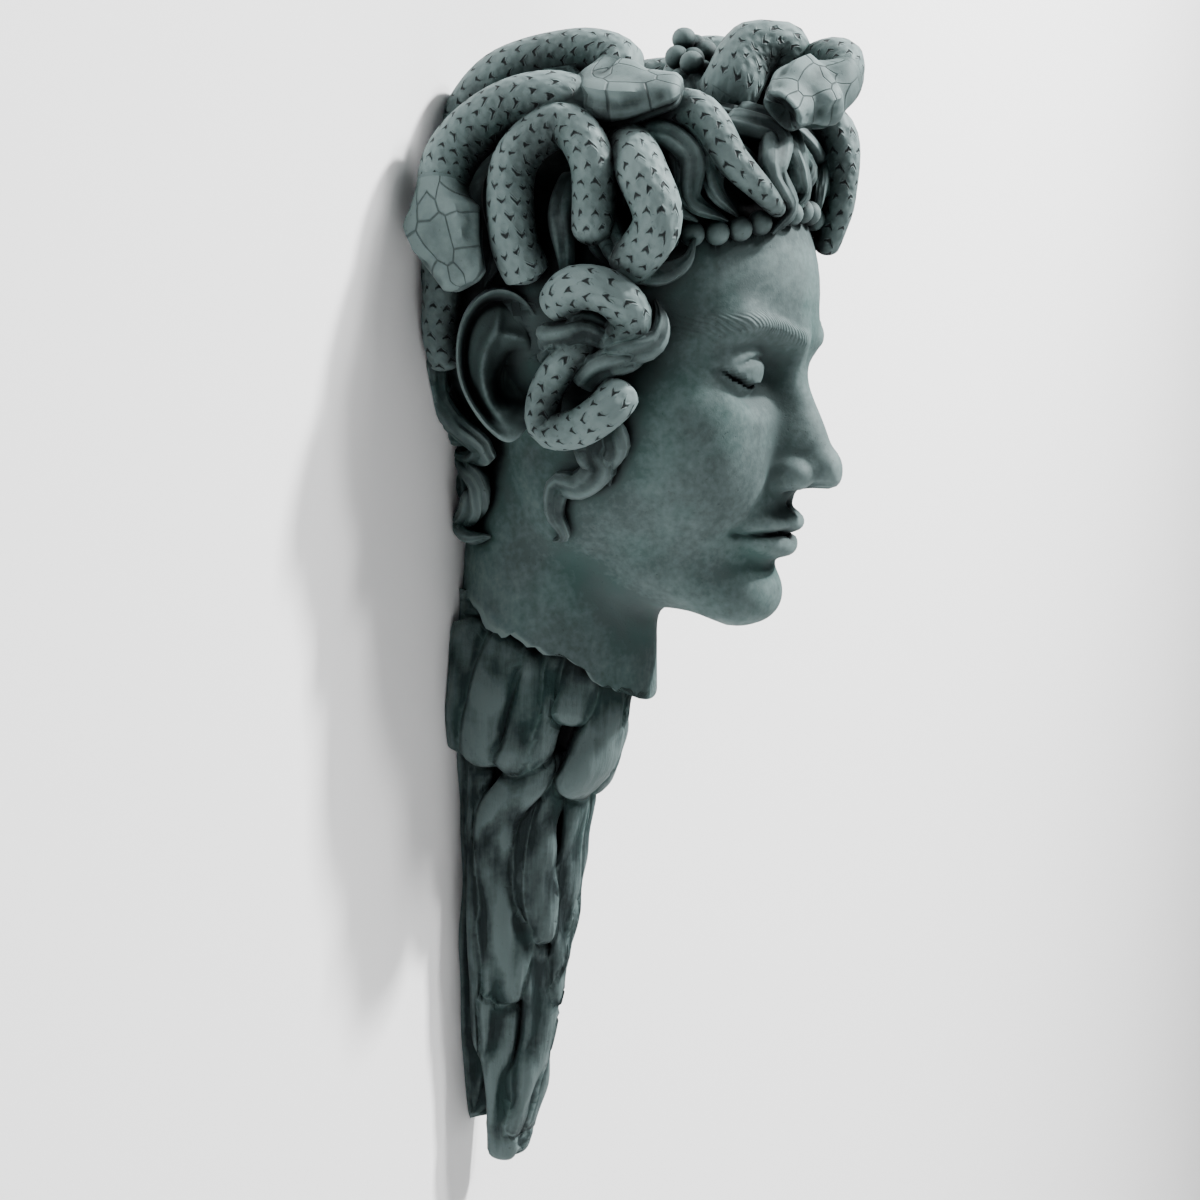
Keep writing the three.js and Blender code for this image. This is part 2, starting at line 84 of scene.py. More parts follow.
forms = [
    ("cranium", dict(at=(0, 4, 26), r=(73, 97, 83)), 1),
    ("cheek block", dict(at=(0, 42, -26), r=(57, 53, 62)), 16),
    ("neck", dict(a=(0, 2, -60), b=(0, 2, -190), radii=(42, 47)), 18),
    ("jaw side", dict(at=(38, 24, -38), r=(13, 26, 34)), 24),
    ("jaw body", dict(a=(36, 22, -64), b=(10, 84, -96), radii=(11, 10)), 22),
    ("under chin", dict(at=(0, 55, -90), r=(30, 38, 15)), 18),
    ("muzzle", dict(at=(0, 74, -60), r=(29, 28, 27)), 16),
    ("chin", dict(at=(0, 90, -96), r=(19, 13, 12)), 11),
    ("cheekbone", dict(at=(41, 60, -18), r=(17, 22, 13), yaw=28), 24),
    ("soft cheek", dict(at=(29, 68, -42), r=(23, 21, 26)), 24),
    ("brow", dict(a=(8, 94, 14), b=(38, 82, 17.5), radii=(6.6, 5.2)), 12),
    ("brow tail", dict(a=(38, 82, 17.5), b=(54, 60, 8), radii=(5.2, 4.5)), 14),
    ("eye socket", dict(at=(31, 98, -1), r=(18, 15, 12), roll=5), -11),
    ("inner corner", dict(at=(15.5, 99, -1), r=(6, 11, 8)), -7),
    ("nose root", dict(a=(0, 88, 8), b=(0, 112, -34), radii=(7.5, 7.6)), 8),
    ("nose side", dict(at=(0, 98, -33), r=(14, 13, 18)), 8),
    ("nose tip", dict(at=(0, 116.5, -38.5), r=(8.2, 8.8, 7.6)), 6),
    ("nostril wing", dict(at=(11.5, 105, -41.5), r=(6, 9.5, 6.8), yaw=14), 4),
    ("nostril", dict(at=(6, 108, -49), r=(3.2, 6, 4.6), yaw=14), -2),
    ("upper lip middle", dict(at=(0, 103, -62.8), r=(7, 6, 5)), 5),
    ("upper lip", dict(at=(10, 100, -63.2), r=(15, 6, 4.4), yaw=-27, roll=-8), 4),
    ("lower lip", dict(at=(7, 99.5, -72.2), r=(14.5, 7, 5.6), yaw=-22, roll=6), 4.5),
    ("temple", dict(at=(78, 60, 18), r=(14, 24, 24)), -20),
    ("eyeball", dict(at=(31, 75.5, 0), r=(12.6, 12.6, 12.6)), 1),
]


# lids: middle sideways and forward, radii of the two shells, and the gap between them, in mm of the head
lids = {"aside": 31, "forward": 76.5, "upper": 15.6, "lower": 14.7, "gap": 1.7}


def ellipsoid(p, at, r, yaw=0, roll=0):
    # about the distance to an ellipsoid: k0 (k0 - 1) / k1, k0 and k1 the lengths of p/r and p/r^2
    x, f, z = (p[i] - at[i] for i in range(3))
    c, s = math.cos(math.radians(yaw)), math.sin(math.radians(yaw))
    x, f = c * x + s * f, -s * x + c * f
    c, s = math.cos(math.radians(roll)), math.sin(math.radians(roll))
    x, z = c * x + s * z, -s * x + c * z
    k0 = np.sqrt((x / r[0]) ** 2 + (f / r[1]) ** 2 + (z / r[2]) ** 2)
    k1 = np.sqrt((x / r[0] ** 2) ** 2 + (f / r[1] ** 2) ** 2 + (z / r[2] ** 2) ** 2)
    return k0 * (k0 - 1) / np.maximum(k1, 1e-6)


def capsule(p, a, b, radii):
    # distance to the line from a to b, less a radius that runs evenly from one end to the other
    along = [b[i] - a[i] for i in range(3)]
    away = [p[i] - a[i] for i in range(3)]
    t = np.clip(sum(away[i] * along[i] for i in range(3)) / sum(c * c for c in along), 0, 1)
    gap = np.sqrt(sum((away[i] - t * along[i]) ** 2 for i in range(3)))
    return gap - radii[0] - (radii[1] - radii[0]) * t


def joined(a, b, blend):
    # smooth minimum: min(a, b) less h^2 blend / 4, h the overlap of the two within the blend
    h = np.maximum(blend - np.abs(a - b), 0) / blend
    return np.minimum(a, b) - h * h * blend / 4


def untilted(x, f, z):
    # the same point on the head before it is tilted: a turn about the chin, seen from the side
    c, s = math.cos(math.radians(casting["headTilt"])), math.sin(math.radians(casting["headTilt"]))
    df, dz = f - tiltPivot[0], z - tiltPivot[1]
    return np.abs(x), tiltPivot[0] + c * df - s * dz, tiltPivot[1] + s * df + c * dz


def headField(x, f, z):
    p = untilted(x, f, z)
    d = np.full(np.shape(x), 1000.0)
    for name, size, blend in forms:
        q = (p[0], f, z) if name == "neck" else p
        g = ellipsoid(q, **size) if "at" in size else capsule(q, **size)
        d = joined(d, g, blend) if blend > 0 else -joined(-d, g, -blend)
    # lowered lids: two shells over the eyeball, parted along a curved lid line
    across = p[0] - lids["aside"]
    lidLine = -5.6 + 0.07 * across + 0.016 * across ** 2
    ball = np.sqrt((across / 1.2) ** 2 + (p[1] - lids["forward"]) ** 2 + p[2] ** 2)
    d = joined(d, np.maximum(ball - lids["upper"], lidLine - p[2]), 1.6)
    return joined(d, np.maximum(ball - lids["lower"], p[2] - lidLine + lids["gap"]), 2.2)


def reach(origin, direction):
    # mm along each ray to the surface: r is moved by a share of the field until it settles
    r = np.full(direction[0].shape, 60.0)
    for step in range(80):
        g = headField(*(origin[i] + r * direction[i] for i in range(3)))
        r = np.clip(r - (0.7 if step < 55 else 0.5) * g, 1, 170)
    return r


def bell(x, middle, wide):
    return np.exp(-((x - middle) / wide) ** 2)


def mound(x, z, x0, z0, wide, high):
    return np.exp(-((x - x0) / wide) ** 2 - ((z - z0) / high) ** 2)


def faceTouches(x, f, z):
    # fine modelling, in mm that the surface sinks: line and corners of the lips, hollows, lid crease and
    # a raised band for the brow hairs
    x, f, z = untilted(x, f, z)
    lipLine = -67.2 + 1.1 * bell(x, 6, 5) - 0.9 * bell(x, 0, 4) - 0.0012 * x * x
    t = 4.4 * np.exp(-((z - lipLine) / 1.6) ** 2) / (1 + np.exp((x - 25) / 1.6))
    t += 2.2 * mound(x, z, 27, -67.5, 4.5, 4) + 1.6 * mound(x, z, 0, -83.5, 15, 4)
    t += 1.5 * mound(x, z, 0, -54, 2.6, 6) - 0.7 * mound(x, z, 4.8, -56, 1.8, 5)
    fold = (x - 18) - 0.5 * (-46 - z)
    t += 0.9 * bell(fold, 0, 3.5) * bell(z, -56, 11)
    crease = 5.6 - 0.018 * (x - 30) ** 2
    t += 2.0 * np.exp(-((z - crease) / 1.2) ** 2) * np.exp(-((x - 31) / 13) ** 4)
    t += 0.7 * mound(x, z, 20, -12, 9, 4)
    band = np.exp(-((z - browLine(x)) / 3.4) ** 4) / (1 + np.exp((9 - x) / 2)) / (1 + np.exp((x - 57) / 3))
    return (t - 1.7 * band) * np.clip((f - 50) / 20, 0, 1)


def browLine(x):
    return 15.5 + 5.5 * bell(x, 37, 17) - 0.004 * np.maximum(x - 34, 0) ** 2


def neckEdge(around):
    climb = (0.5 - 0.5 * np.cos(around)) ** 0.8 * casting["neckEdgeRise"] / headScale
    chips = 2.2 * np.sin(5 * around + 1) + 1.4 * np.sin(11 * around) + 0.8 * np.sin(27 * around)
    chips = chips + 0.6 * np.sin(47 * around + 2) * np.sin(3 * around)
    return neckBottom + climb + chips


# Shells: closed meshes of one form each, later joined into the casting. Each point carries where it lies
# on a snake's skin, for the scale marks, and what it belongs to, for the colour.

shells = []


def setPoints(mesh, name, values):
    # one value or one vector for each point
    kind, field = ("FLOAT", "value") if values.shape[1] == 1 else ("FLOAT_VECTOR", "vector")
    data = mesh.attributes.new(name, kind, "POINT").data
    data.foreach_set(field, values.astype(np.float32).ravel())


def addShell(name, grid, first, last, skin=None, kind=(0, 0, 0)):
    # rings by points by 3, with a fan to one point at either end; turned outwards by its signed volume
    rings, count = grid.shape[:2]
    points = np.concatenate([grid.reshape(-1, 3), [first, last]])
    i = np.arange(rings - 1)[:, None] * count
    j = np.arange(count)[None, :]
    k = (j + 1) % count
    quads = np.stack([i + j, i + k, i + count + k, i + count + j], -1).reshape(-1, 4)
    top = (rings - 1) * count
    lower = np.stack([np.full(count, len(points) - 2), k[0], j[0]], -1)
    upper = np.stack([np.full(count, len(points) - 1), top + j[0], top + k[0]], -1)
    tri = np.concatenate([quads[:, [0, 1, 2]], quads[:, [0, 2, 3]], lower, upper])
    a, b, c = (points[tri[:, n]] for n in range(3))
    faces = quads.tolist() + lower.tolist() + upper.tolist()
    if np.einsum("ij,ij->", a, np.cross(b, c)) < 0:
        faces = [face[::-1] for face in faces]
    mesh = bpy.data.meshes.new(name)
    mesh.from_pydata((points * 0.001).tolist(), [], faces)
    marks = np.zeros((len(points), 3), np.float32)
    if skin is not None:
        marks[:-2] = skin.reshape(-1, 3)
        marks[-2], marks[-1] = marks[0], marks[-3]
    setPoints(mesh, "skin", marks)
    kinds = np.zeros((len(points), 3), np.float32)
    kinds[:-2] = np.broadcast_to(np.asarray(kind, float), grid.shape).reshape(-1, 3)
    kinds[-2], kinds[-1] = kinds[0], kinds[-3]
    setPoints(mesh, "kind", kinds)
    shell = bpy.data.objects.new(name, mesh)
    bpy.context.collection.objects.link(shell)
    shells.append(shell)


def makeHead():
    # rays fan out from a line inside the head, close together over the face
    even = np.linspace(0, 2 * np.pi, casting["columns"], endpoint=False)
    around = (even - 0.72 * np.sin(even) + 0.12 * np.sin(2 * even))[None, :]
    v = (np.arange(casting["rows"]) / casting["rows"])[:, None]
    front = 0.5 + 0.5 * np.cos(around)
    stops = [0, 0.07, 0.16, 0.5, 0.92, 1]
    under = -80 + (chinHeight - 10 + 80) * front
    levels = [neckEdge(around), under, -58 + 0 * under, -35 + 0 * under, 45 + 0 * under, 60 + 0 * under]
    z = sum(np.interp(v, stops, [float(n == m) for m in range(6)]) * level for n, level in enumerate(levels))
    f = np.interp(v, stops, [0, 10, 25, 22, 16, 15]) + 0 * around
    lean = np.radians(np.interp(v, [0, 0.07, 0.16, 0.5, 0.84, 1], [0, -38, -40, 0, 0, 90])) + 0 * around
    lean = np.where(lean < 0, lean * front, lean)
    direction = (np.sin(around) * np.cos(lean), np.cos(around) * np.cos(lean), np.sin(lean))
    origin = (0 * z, f, z)
    r = reach(origin, direction)
    p = [origin[n] + r * direction[n] for n in range(3)]
    # the scalp behind the row of beads is hair: degrees above the hairline, seen from the skull's middle
    side, ahead, above = (p[n] - skull[n] for n in range(3))
    turned = np.degrees(np.arctan2(np.abs(side), ahead))
    line = np.interp(turned, [0, 15, 30, 46, 56, 75, 100], [23, 21, 18, 17, 9, 3, -20])
    hairy = np.clip((np.degrees(np.arctan2(above, np.hypot(side, ahead))) - line) / 4, 0, 1)
    # combed back in strands: lift = 2.2 |sin(x / 5.5 + 0.7 sin(f / 14))|
    comb = 2.2 * hairy * np.abs(np.sin(np.abs(p[0]) / 5.5 + 0.7 * np.sin(p[1] / 14)))
    p = [p[n] + comb * direction[n] for n in range(3)]
    grid = placed(p[0], p[1] - faceTouches(*p), p[2])
    x, f, z = untilted(*p)
    skin = stacked(x, z - browLine(x), 3)
    kind = stacked(0, hairy, 0)
    addShell("head", grid, placed(0, 0, neckBottom + 34), grid[-1].mean(0), skin, kind)


# Curves and sweeps

def courseCurve(stations):
    # Catmull-Rom curve with tension 0.5 through the stations, then the arc length along it
    p = np.asarray(stations, float)
    p = np.concatenate([[2 * p[0] - p[1]], p, [2 * p[-1] - p[-2]]])
    t = np.linspace(0, 1, 24, endpoint=False)[:, None]
    spans = []
    for a, b, c, d in zip(p[:-3], p[1:-2], p[2:-1], p[3:]):
        m, n = 0.5 * (c - a), 0.5 * (d - b)
        spans.append(b + m * t + (3 * (c - b) - 2 * m - n) * t ** 2 + (2 * (b - c) + m + n) * t ** 3)
    line = np.concatenate(spans + [p[-2:-1]])
    run = np.concatenate([[0], np.cumsum(np.linalg.norm(np.diff(line, axis=0), axis=1))])
    return line, run


def unitLong(vectors):
    return vectors / np.maximum(np.linalg.norm(vectors, axis=1, keepdims=True), 1e-9)


def sweep(curve, shares, middle):
    # place, side axis and outward axis of each ring; the outward axis faces away from the middle and is
    # averaged along the curve so that it never flips
    line, run = curve
    slope = np.gradient(line, run, axis=0)
    at, along = (stacked(*(np.interp(shares * run[-1], run, column) for column in values.T))
                 for values in (line, slope))
    along = unitLong(along)
    away = unitLong(at - middle)
    for step in range(12):
        away -= along * np.sum(along * away, 1, keepdims=True)
        padded = np.concatenate([away[:1], away, away[-1:]])
        away = (padded[:-2] + padded[1:-1] + padded[2:]) / 3
    away = unitLong(away - along * np.sum(along * away, 1, keepdims=True))
    return at, np.cross(along, away), away


def ringed(at, side, out, turn, halfSide, halfOut):
    # points at + side cos(turn) halfSide + out sin(turn) halfOut
    a = (halfSide * np.cos(turn))[..., None] * side[:, None]
    return at[:, None] + a + (halfOut * np.sin(turn))[..., None] * out[:, None]


def turns(sides):
    # once round from the inward side, where the seam lies hidden
    return (np.linspace(0, 2 * np.pi, sides, endpoint=False) - np.pi / 2)[None, :]


roundEnd = 0.94


def domed(past, length, share):
    # closes like a dome over the last part of a length: sqrt(1 - share (past / length)^2)
    return np.sqrt(1 - share * (np.maximum(past, 0) / length) ** 2)


def roundedOff(t):
    return domed(t - roundEnd, 1 - roundEnd, 0.98)


def rootRound(run):
    # the first 6 mm of a coil or lock close like a dome
    return domed(6 - run, 6, 0.9)


def overScalp(course, side):
    # stations [degrees round from the front, degrees up, lift in snake radii] as points of the part
    a, e, lift = np.asarray(course, float).T
    a, e = np.radians(a), np.radians(e)
    direction = (-side * np.sin(a) * np.cos(e), np.cos(a) * np.cos(e), np.sin(e))
    origin = tuple(np.full(a.shape, float(c)) for c in skull)
    r = reach(origin, direction) + lift * snakeLook["radius"] / headScale
    return placed(*(origin[n] + r * direction[n] for n in range(3)))


skullMiddle = placed(*skull)

snakeLook = {
    "radius": 14,
    "sides": 24, "headSides": 36,
    "ringSpacing": 4, "headSpacing": 1.6,
    "scalePitch": (7.6, 7.2),   # round the body and along it
    "headLength": 3.7,          # in radii
    "headStops": [0, 0.16, 0.38, 0.56, 0.76, 0.92, 1],
    "headAcross": [0.9, 1.04, 1.44, 1.36, 1.08, 0.94, 0.84],
    "headOutward": [0.86, 0.88, 1.0, 0.98, 0.74, 0.6, 0.52],
    # last rings of a head: steps ahead in radii, share of the size
    "blunt": [[0.1, 0.9], [0.19, 0.72], [0.25, 0.42]],
    "gaping": [[0.1, 1.0], [0.15, 0.88], [0.1, 0.72], [-0.02, 0.6], [-0.16, 0.42], [-0.22, 0.2]],
}

# name, girth at root and end in radii, whether it ends in a head, whether the far side has it too, course
snakes = [
    ("hanging", (1, 0.95), True, True,
        [[61, 47, 0.8], [78, 47, 2.1], [95, 43, 2.3], [106, 32, 2.3], [105, 18, 2.3], [97, 3, 2.3]]),
    ("doubleLoop", (0.85, 0.75), False, True,
        [[84, 4, 0.5], [88, 16, 1.3], [88, 32, 1.9], [76, 40, 2.1], [67, 31, 1.9], [66, 13, 1]]),
    ("crownRear", (1, 0.9), True, True,
        [[132, 47, 0.6], [112, 59, 1.7], [75, 64, 2], [57, 58, 2], [63, 49, 1.9], [45, 44, 2.6]]),
    ("crownArch", (1.1, 1), False, False,
        [[5, 54, 0.4], [6, 54, 1.5], [1, 56, 2.6], [-4, 55, 3.5], [-9, 51, 3.2], [-13, 46, 2.4],
         [-19, 42, 1.2]]),
    ("crownFront", (0.8, 0.95), True, False,
        [[-17, 46, 2.4], [-11, 47, 3.4], [-5, 44, 4.3], [0, 40, 4.2], [4, 40, 3.4], [11, 40, 2.9],
         [19, 37, 2.8]]),
    ("farCrown", (1, 0.6), False, False,
        [[-60, 62, 0.6], [-40, 66, 2.1], [-24, 60, 2.4], [-22, 50, 2.2], [-30, 42, 1.7], [-36, 34, 0.8]]),
    ("brow", (1, 0.3), False, True,
        [[50, 48, 0.8], [38, 41, 1.9], [33, 29, 1.9], [25, 23, 1.4], [17, 20, 0.7]]),
    ("templeOval", (0.95, 0.8), False, True,
        [[56, 41, 0.8], [55, 28, 1.9], [52, 16, 2], [58, 6, 1]]),
    ("templeCoil", (0.8, 0.75), False, True,
        [[76, -3, 0.3], [70, 2, 1.4], [62, 1, 1.9], [56, -5, 1.4], [60, -14, 0.9]]),
    ("cheekCurl", (0.55, 0.75), False, True,
        [[63, -13, 0.7], [72, -17, 1.2], [78, -26, 1.4], [78, -34, 1.6], [69, -32, 1.8], [61, -26, 1.6],
         [56, -22, 0.9]]),
    ("behindEar", (0.8, 0.6), False, True,
        [[116, 16, 0.6], [114, 1, 0.7], [117, -12, 0.7], [118, -23, 0.6]]),
    ("farBrow", (0.9, 0.5), False, False,
        [[-24, 45, 2.3], [-13, 35, 2.6], [-12, 24, 1.5], [-13, 18, 0.8], [-15, 13, 0.3]]),
]


def makeSnake(name, girth, hasHead, course, side):
    curve = courseCurve(overScalp(course, side))
    length = curve[1][-1]
    nape = 1 - snakeLook["headLength"] * snakeLook["radius"] / length if hasHead else 1
    shares = np.linspace(0, 1, int(length / snakeLook["ringSpacing"]))
    if hasHead:
        fine = np.linspace(nape, 1, int((1 - nape) * length / snakeLook["headSpacing"]))
        shares = np.concatenate([shares[shares < nape - 0.4 * shares[1]], fine])
    else:
        closing = 1 - (1 - roundEnd) * np.array([0.75, 0.5, 0.28, 0.12, 0.03, 0])
        shares = np.concatenate([shares[shares < roundEnd], closing])
    at, sideways, out = sweep(curve, shares, skullMiddle)
    if hasHead:
        # more rings round the snout off, or turn in for an open mouth
        last = np.array(snakeLook["gaping" if name == "crownFront" else "blunt"])
        extra = len(last)
        ahead = np.cross(out[-1], sideways[-1])
        at = np.concatenate([at, at[-1] + snakeLook["radius"] * last[:, :1] * ahead])
        sideways = np.concatenate([sideways, np.repeat(sideways[-1:], extra, 0)])
        out = np.concatenate([out, np.repeat(out[-1:], extra, 0)])
        shares = np.concatenate([shares, np.ones(extra)])
    turn = turns(snakeLook["headSides" if hasHead else "sides"])
    turn = turn - 0.3 * np.sin(2 * turn) * hasHead      # closer together over the flanks
    t = shares[:, None]
    body = snakeLook["radius"] * (girth[0] + (girth[1] - girth[0]) * t)
    wide = body + 0 * turn
    deep = body + 0 * turn
    around = body * (turn - np.pi / 2)      # millimetres from the middle of the snake's back
    run = t * length
    h = (t - nape) / max(1 - nape, 1e-6) if hasHead else -1 + 0 * t
    relief = 0 * wide
    lift, flank = np.sin(turn) + 0 * t, np.cos(turn) + 0 * t
    headness = np.clip(h / 0.2, 0, 1)
    ending = roundedOff(t) if not hasHead else np.ones_like(t)
    ending = ending * rootRound(run)
    if hasHead:
        ending[-extra:, 0] = last[:, 1]
        stops = snakeLook["headStops"]
        wide = body * np.where(h < 0, 1, np.interp(h, stops, snakeLook["headAcross"])) + 0 * turn
        deep = body * np.where(h < 0, 1, np.interp(h, stops, snakeLook["headOutward"])) + 0 * turn
        for step in range(3):
            for size in (wide, deep):
                size[1:-extra] = (size[:-extra - 1] + size[1:-extra] + size[2:len(t) - extra + 1]) / 3
        # brow ridges over hollows that hold the eyes, a groove for the mouth with a fuller lip above it,
        # nostrils and a shallow groove along the top of the head: all soft bumps in mm
        span = np.clip((h - 0.26) / 0.12, 0, 1) * np.clip((0.74 - h) / 0.1, 0, 1)
        face = 3.0 * span * bell(lift, 0.74, 0.16)
        face = face - 3.0 * mound(h, lift, 0.6, 0.44, 0.12, 0.22)
        face = face + 4.2 * mound(h, lift, 0.57, 0.46, 0.06, 0.15)
        gape = lift + 0.34 - 0.2 * h
        mouth = 0.9 * bell(gape, 0.22, 0.12) - 2.8 * bell(gape, 0, 0.09)
        face = face + np.clip((h - 0.28) / 0.1, 0, 1) * mouth
        face = face - 1.4 * mound(h, lift, 0.92, 0.5, 0.035, 0.12)
        face = face - 0.8 * bell(flank, 0, 0.12) * (lift > 0) * np.clip((0.7 - h) / 0.2, 0, 1)
        face = face + 1.2 * mound(h, lift, 0.34, -0.05, 0.13, 0.45)
        relief = (relief + headness * face) * ending
        # the section turns from round to a flat-topped box: each part of the circle to the power 0.7
        boxed = np.sign(flank) * np.abs(flank) ** 0.7 * (1 - 0.16 * np.maximum(lift, 0))
        flank = flank + (boxed - flank) * headness
        lift = lift + (np.sign(lift) * np.abs(lift) ** 0.72 - lift) * headness
    a = (flank * (wide * ending + relief))[..., None] * sideways[:, None]
    grid = at[:, None] + a + (lift * (deep * ending + relief))[..., None] * out[:, None]
    # on the body: mm round, mm along, 1. On the head: share across, share along, 2.
    onHead = (h > 0.02) & (np.sin(turn) > -0.3)
    skin = stacked(
        np.where(onHead, np.cos(turn), around), np.where(onHead, h, run),
        np.where(onHead, 2, 1 + 0 * around))
    addShell(name, grid, at[0], grid[-1].mean(0), skin, (1, 0, 0))


lockLook = {"radius": 6.5, "sides": 18, "ringSpacing": 3, "groove": 0.42}

# locks on the same kind of stations, on both sides, with their thickness
locks = [
    (1.1, [[46, 50, 1.2], [39, 41, 1.8], [36, 33, 1.6], [36, 25, 1.2], [28, 20, 0.5]]),
    (1.0, [[56, 39, 1.1], [48, 38, 1.6], [42, 31, 1.7], [42, 23, 1.2], [31, 19, 0.5]]),
    (0.9, [[53, 39, 1.2], [45, 36, 1.4], [44, 29, 1.4], [45, 22, 1.1], [39, 19, 0.6]]),
    (1.0, [[62, 28, 0.9], [62, 18, 0.9], [57, 9, 1.2], [50, 6, 1.2], [43, 9, 0.9], [40, 15, 0.6]]),
    (0.8, [[64, 28, 0.7], [65, 16, 0.8], [62, 11, 0.7], [56, 6, 0.7]]),
    (1.0, [[64, -19, 0.8], [58, -13, 1.5], [51, -11, 1.5], [48, -6, 1.1], [48, 0, 0.4]]),
    (0.9, [[68, -24, 0.9], [63, -17, 1.5], [56, -15, 1.5], [51, -12, 0.9], [49, -7, 0.4]]),
    (0.9, [[81, -12, 0.6], [74, -11, 1.1], [67, -9, 1.2], [60, -12, 1.4], [54, -16, 1.0]]),
    (0.8, [[80, -20, 0.5], [74, -14, 1.0], [68, -6, 1.0], [60, -8, 1.2], [54, -4, 0.6]]),
    (1.1, [[60, -30, 0.8], [64, -38, 0.9], [61, -43, 0.7], [67, -49, 0.6], [75, -51, 0.6], [77, -56, 0.5],
           [73, -60, 0.4], [79, -64, 0.2]]),
    (0.8, [[60, -31, 0.8], [57, -36, 0.8], [59, -42, 0.7], [57, -48, 0.2]]),
    (1.1, [[124, -17, 0.6], [130, -30, 0.7], [128, -40, 0.8], [116, -50, 0.9], [136, -52, 1], [146, -47, 1]]),
    (0.9, [[126, -26, 0.5], [140, -38, 0.8], [136, -46, 0.9], [122, -48, 0.7]]),
    (1.1, [[144, -54, 0.6], [125, -58, 1.1], [136, -61, 1.1], [150, -59, 1.1]]),
    (0.9, [[148, -50, 0.6], [138, -56, 1.0], [148, -59, 0.9]]),
    (0.9, [[150, -61, 0.6], [132, -63, 1.0], [119, -65, 0.4]]),
    (1.1, [[115, 64, 1.0], [91, 62, 1.6], [75, 55, 1.8], [71, 50, 1.5], [64, 48, 0.8]]),
    (1.0, [[110, 58, 0.8], [92, 56, 1.4], [80, 50, 1.5], [77, 44, 1.0]]),
    (0.9, [[72, 36, 0.3], [75, 22, 0.7], [73, 8, 0.6], [76, 0, 0.3]]),
    (0.9, [[98, 44, 0.4], [97, 28, 0.9], [94, 14, 0.7], [100, 2, 0.4]]),
    (0.8, [[120, 34, 0.4], [118, 18, 0.7], [122, 2, 0.7], [120, -14, 0.3]]),
    (0.9, [[30, 60, 0.4], [24, 46, 0.8], [18, 36, 0.8], [10, 27, 0.3]]),
    (0.9, [[20, 56, 0.4], [12, 44, 1.0], [6, 34, 0.9], [2, 27, 0.3]]),
    (0.9, [[36, 40, 0.6], [28, 34, 1.2], [22, 29, 1.0], [12, 25, 0.4]]),
    (1.3, [[16, 46, 1.0], [8, 39, 1.4], [12, 31, 1.5], [6, 25, 0.8], [10, 21, 0.3]]),
    (1.2, [[26, 42, 1.3], [17, 35, 1.7], [22, 27, 1.6], [15, 21, 0.9], [19, 16, 0.4]]),
    (1.2, [[4, 44, 0.7], [-2, 37, 1.0], [4, 31, 1.0], [-1, 26, 0.5]]),
]


def makeLock(thickness, course, side):
    # flat tapering strand; its face is cut by grooves, each a narrow cusp (1 - |sin|)^3 in the radius
    curve = courseCurve(overScalp(course, side))
    shares = np.linspace(0, 1, int(curve[1][-1] / lockLook["ringSpacing"]))
    at, sideways, out = sweep(curve, shares, skullMiddle)
    turn = turns(lockLook["sides"])
    t = shares[:, None]
    radius = lockLook["radius"] * thickness
    groove = (1 - np.abs(np.sin(2 * (turn - np.pi / 2) + 0.6 * np.sin(5 * t)))) ** 2
    ridge = 1 - lockLook["groove"] * groove * np.clip(np.sin(turn) + 0.5, 0, 1)
    taper = rootRound(t * curve[1][-1])
    wide = radius * (1.35 - 1.22 * t ** 2.6) * ridge * taper
    deep = radius * (0.95 - 0.81 * t ** 2.6) * ridge * taper
    grid = ringed(at, sideways, out, turn, wide, deep)
    run = t * curve[1][-1]
    skin = stacked(radius * (turn - np.pi / 2), run, 4)
    addShell("lock", grid, at[0], at[-1], skin, (0, 1, 0))


beadLook = {"diameter": 12.5, "across": 16, "down": 10}
hairline = [[56, 8], [46, 16], [30, 17], [15, 20], [0, 22], [-15, 20], [-30, 17], [-46, 16], [-56, 8]]
berries = [[-2, 70, 2.3], [-9, 68, 2.2], [5, 69, 1.6], [9, 65, 0.9], [-6, 65, 2.1], [0, 63, 1.4],
           [10, 64, 1.6], [-8, 63, 1.4], [1, 66, 1.7]]
stalk = [[6, 56, 0.1], [4, 61, 0.8], [1, 65, 1.4], [-3, 68, 2.0]]


def makeBeads():
    # spheres of latitude and longitude, side by side along the hairline
    lift = 0.3 * beadLook["diameter"] / snakeLook["radius"]
    line, run = courseCurve(overScalp([[a, e, lift] for a, e in hairline], 1))
    count = round(run[-1] / (0.98 * beadLook["diameter"]))
    theta = np.linspace(0, np.pi, beadLook["down"] + 1)[1:-1, None]
    phi = np.linspace(0, 2 * np.pi, beadLook["across"], endpoint=False)[None, :]
    ring = np.sin(theta)
    unit = stacked(ring * np.cos(phi), ring * np.sin(phi), np.cos(theta))
    places = [[np.interp(n / count * run[-1], run, line[:, c]) for c in range(3)] for n in range(count + 1)]
    places += overScalp(berries, 1).tolist()
    r = beadLook["diameter"] / 2
    for at in np.array(places):
        addShell("bead", at + r * unit, at + [0, 0, r], at - [0, 0, r], None, (0.5, 0.5, 0))
    makeLock(1.5, stalk, 1)


earLook = {"height": 76, "aside": 66, "lean": 7, "standOff": 26, "sides": 76, "rings": 32, "halfWidth": 0.3}


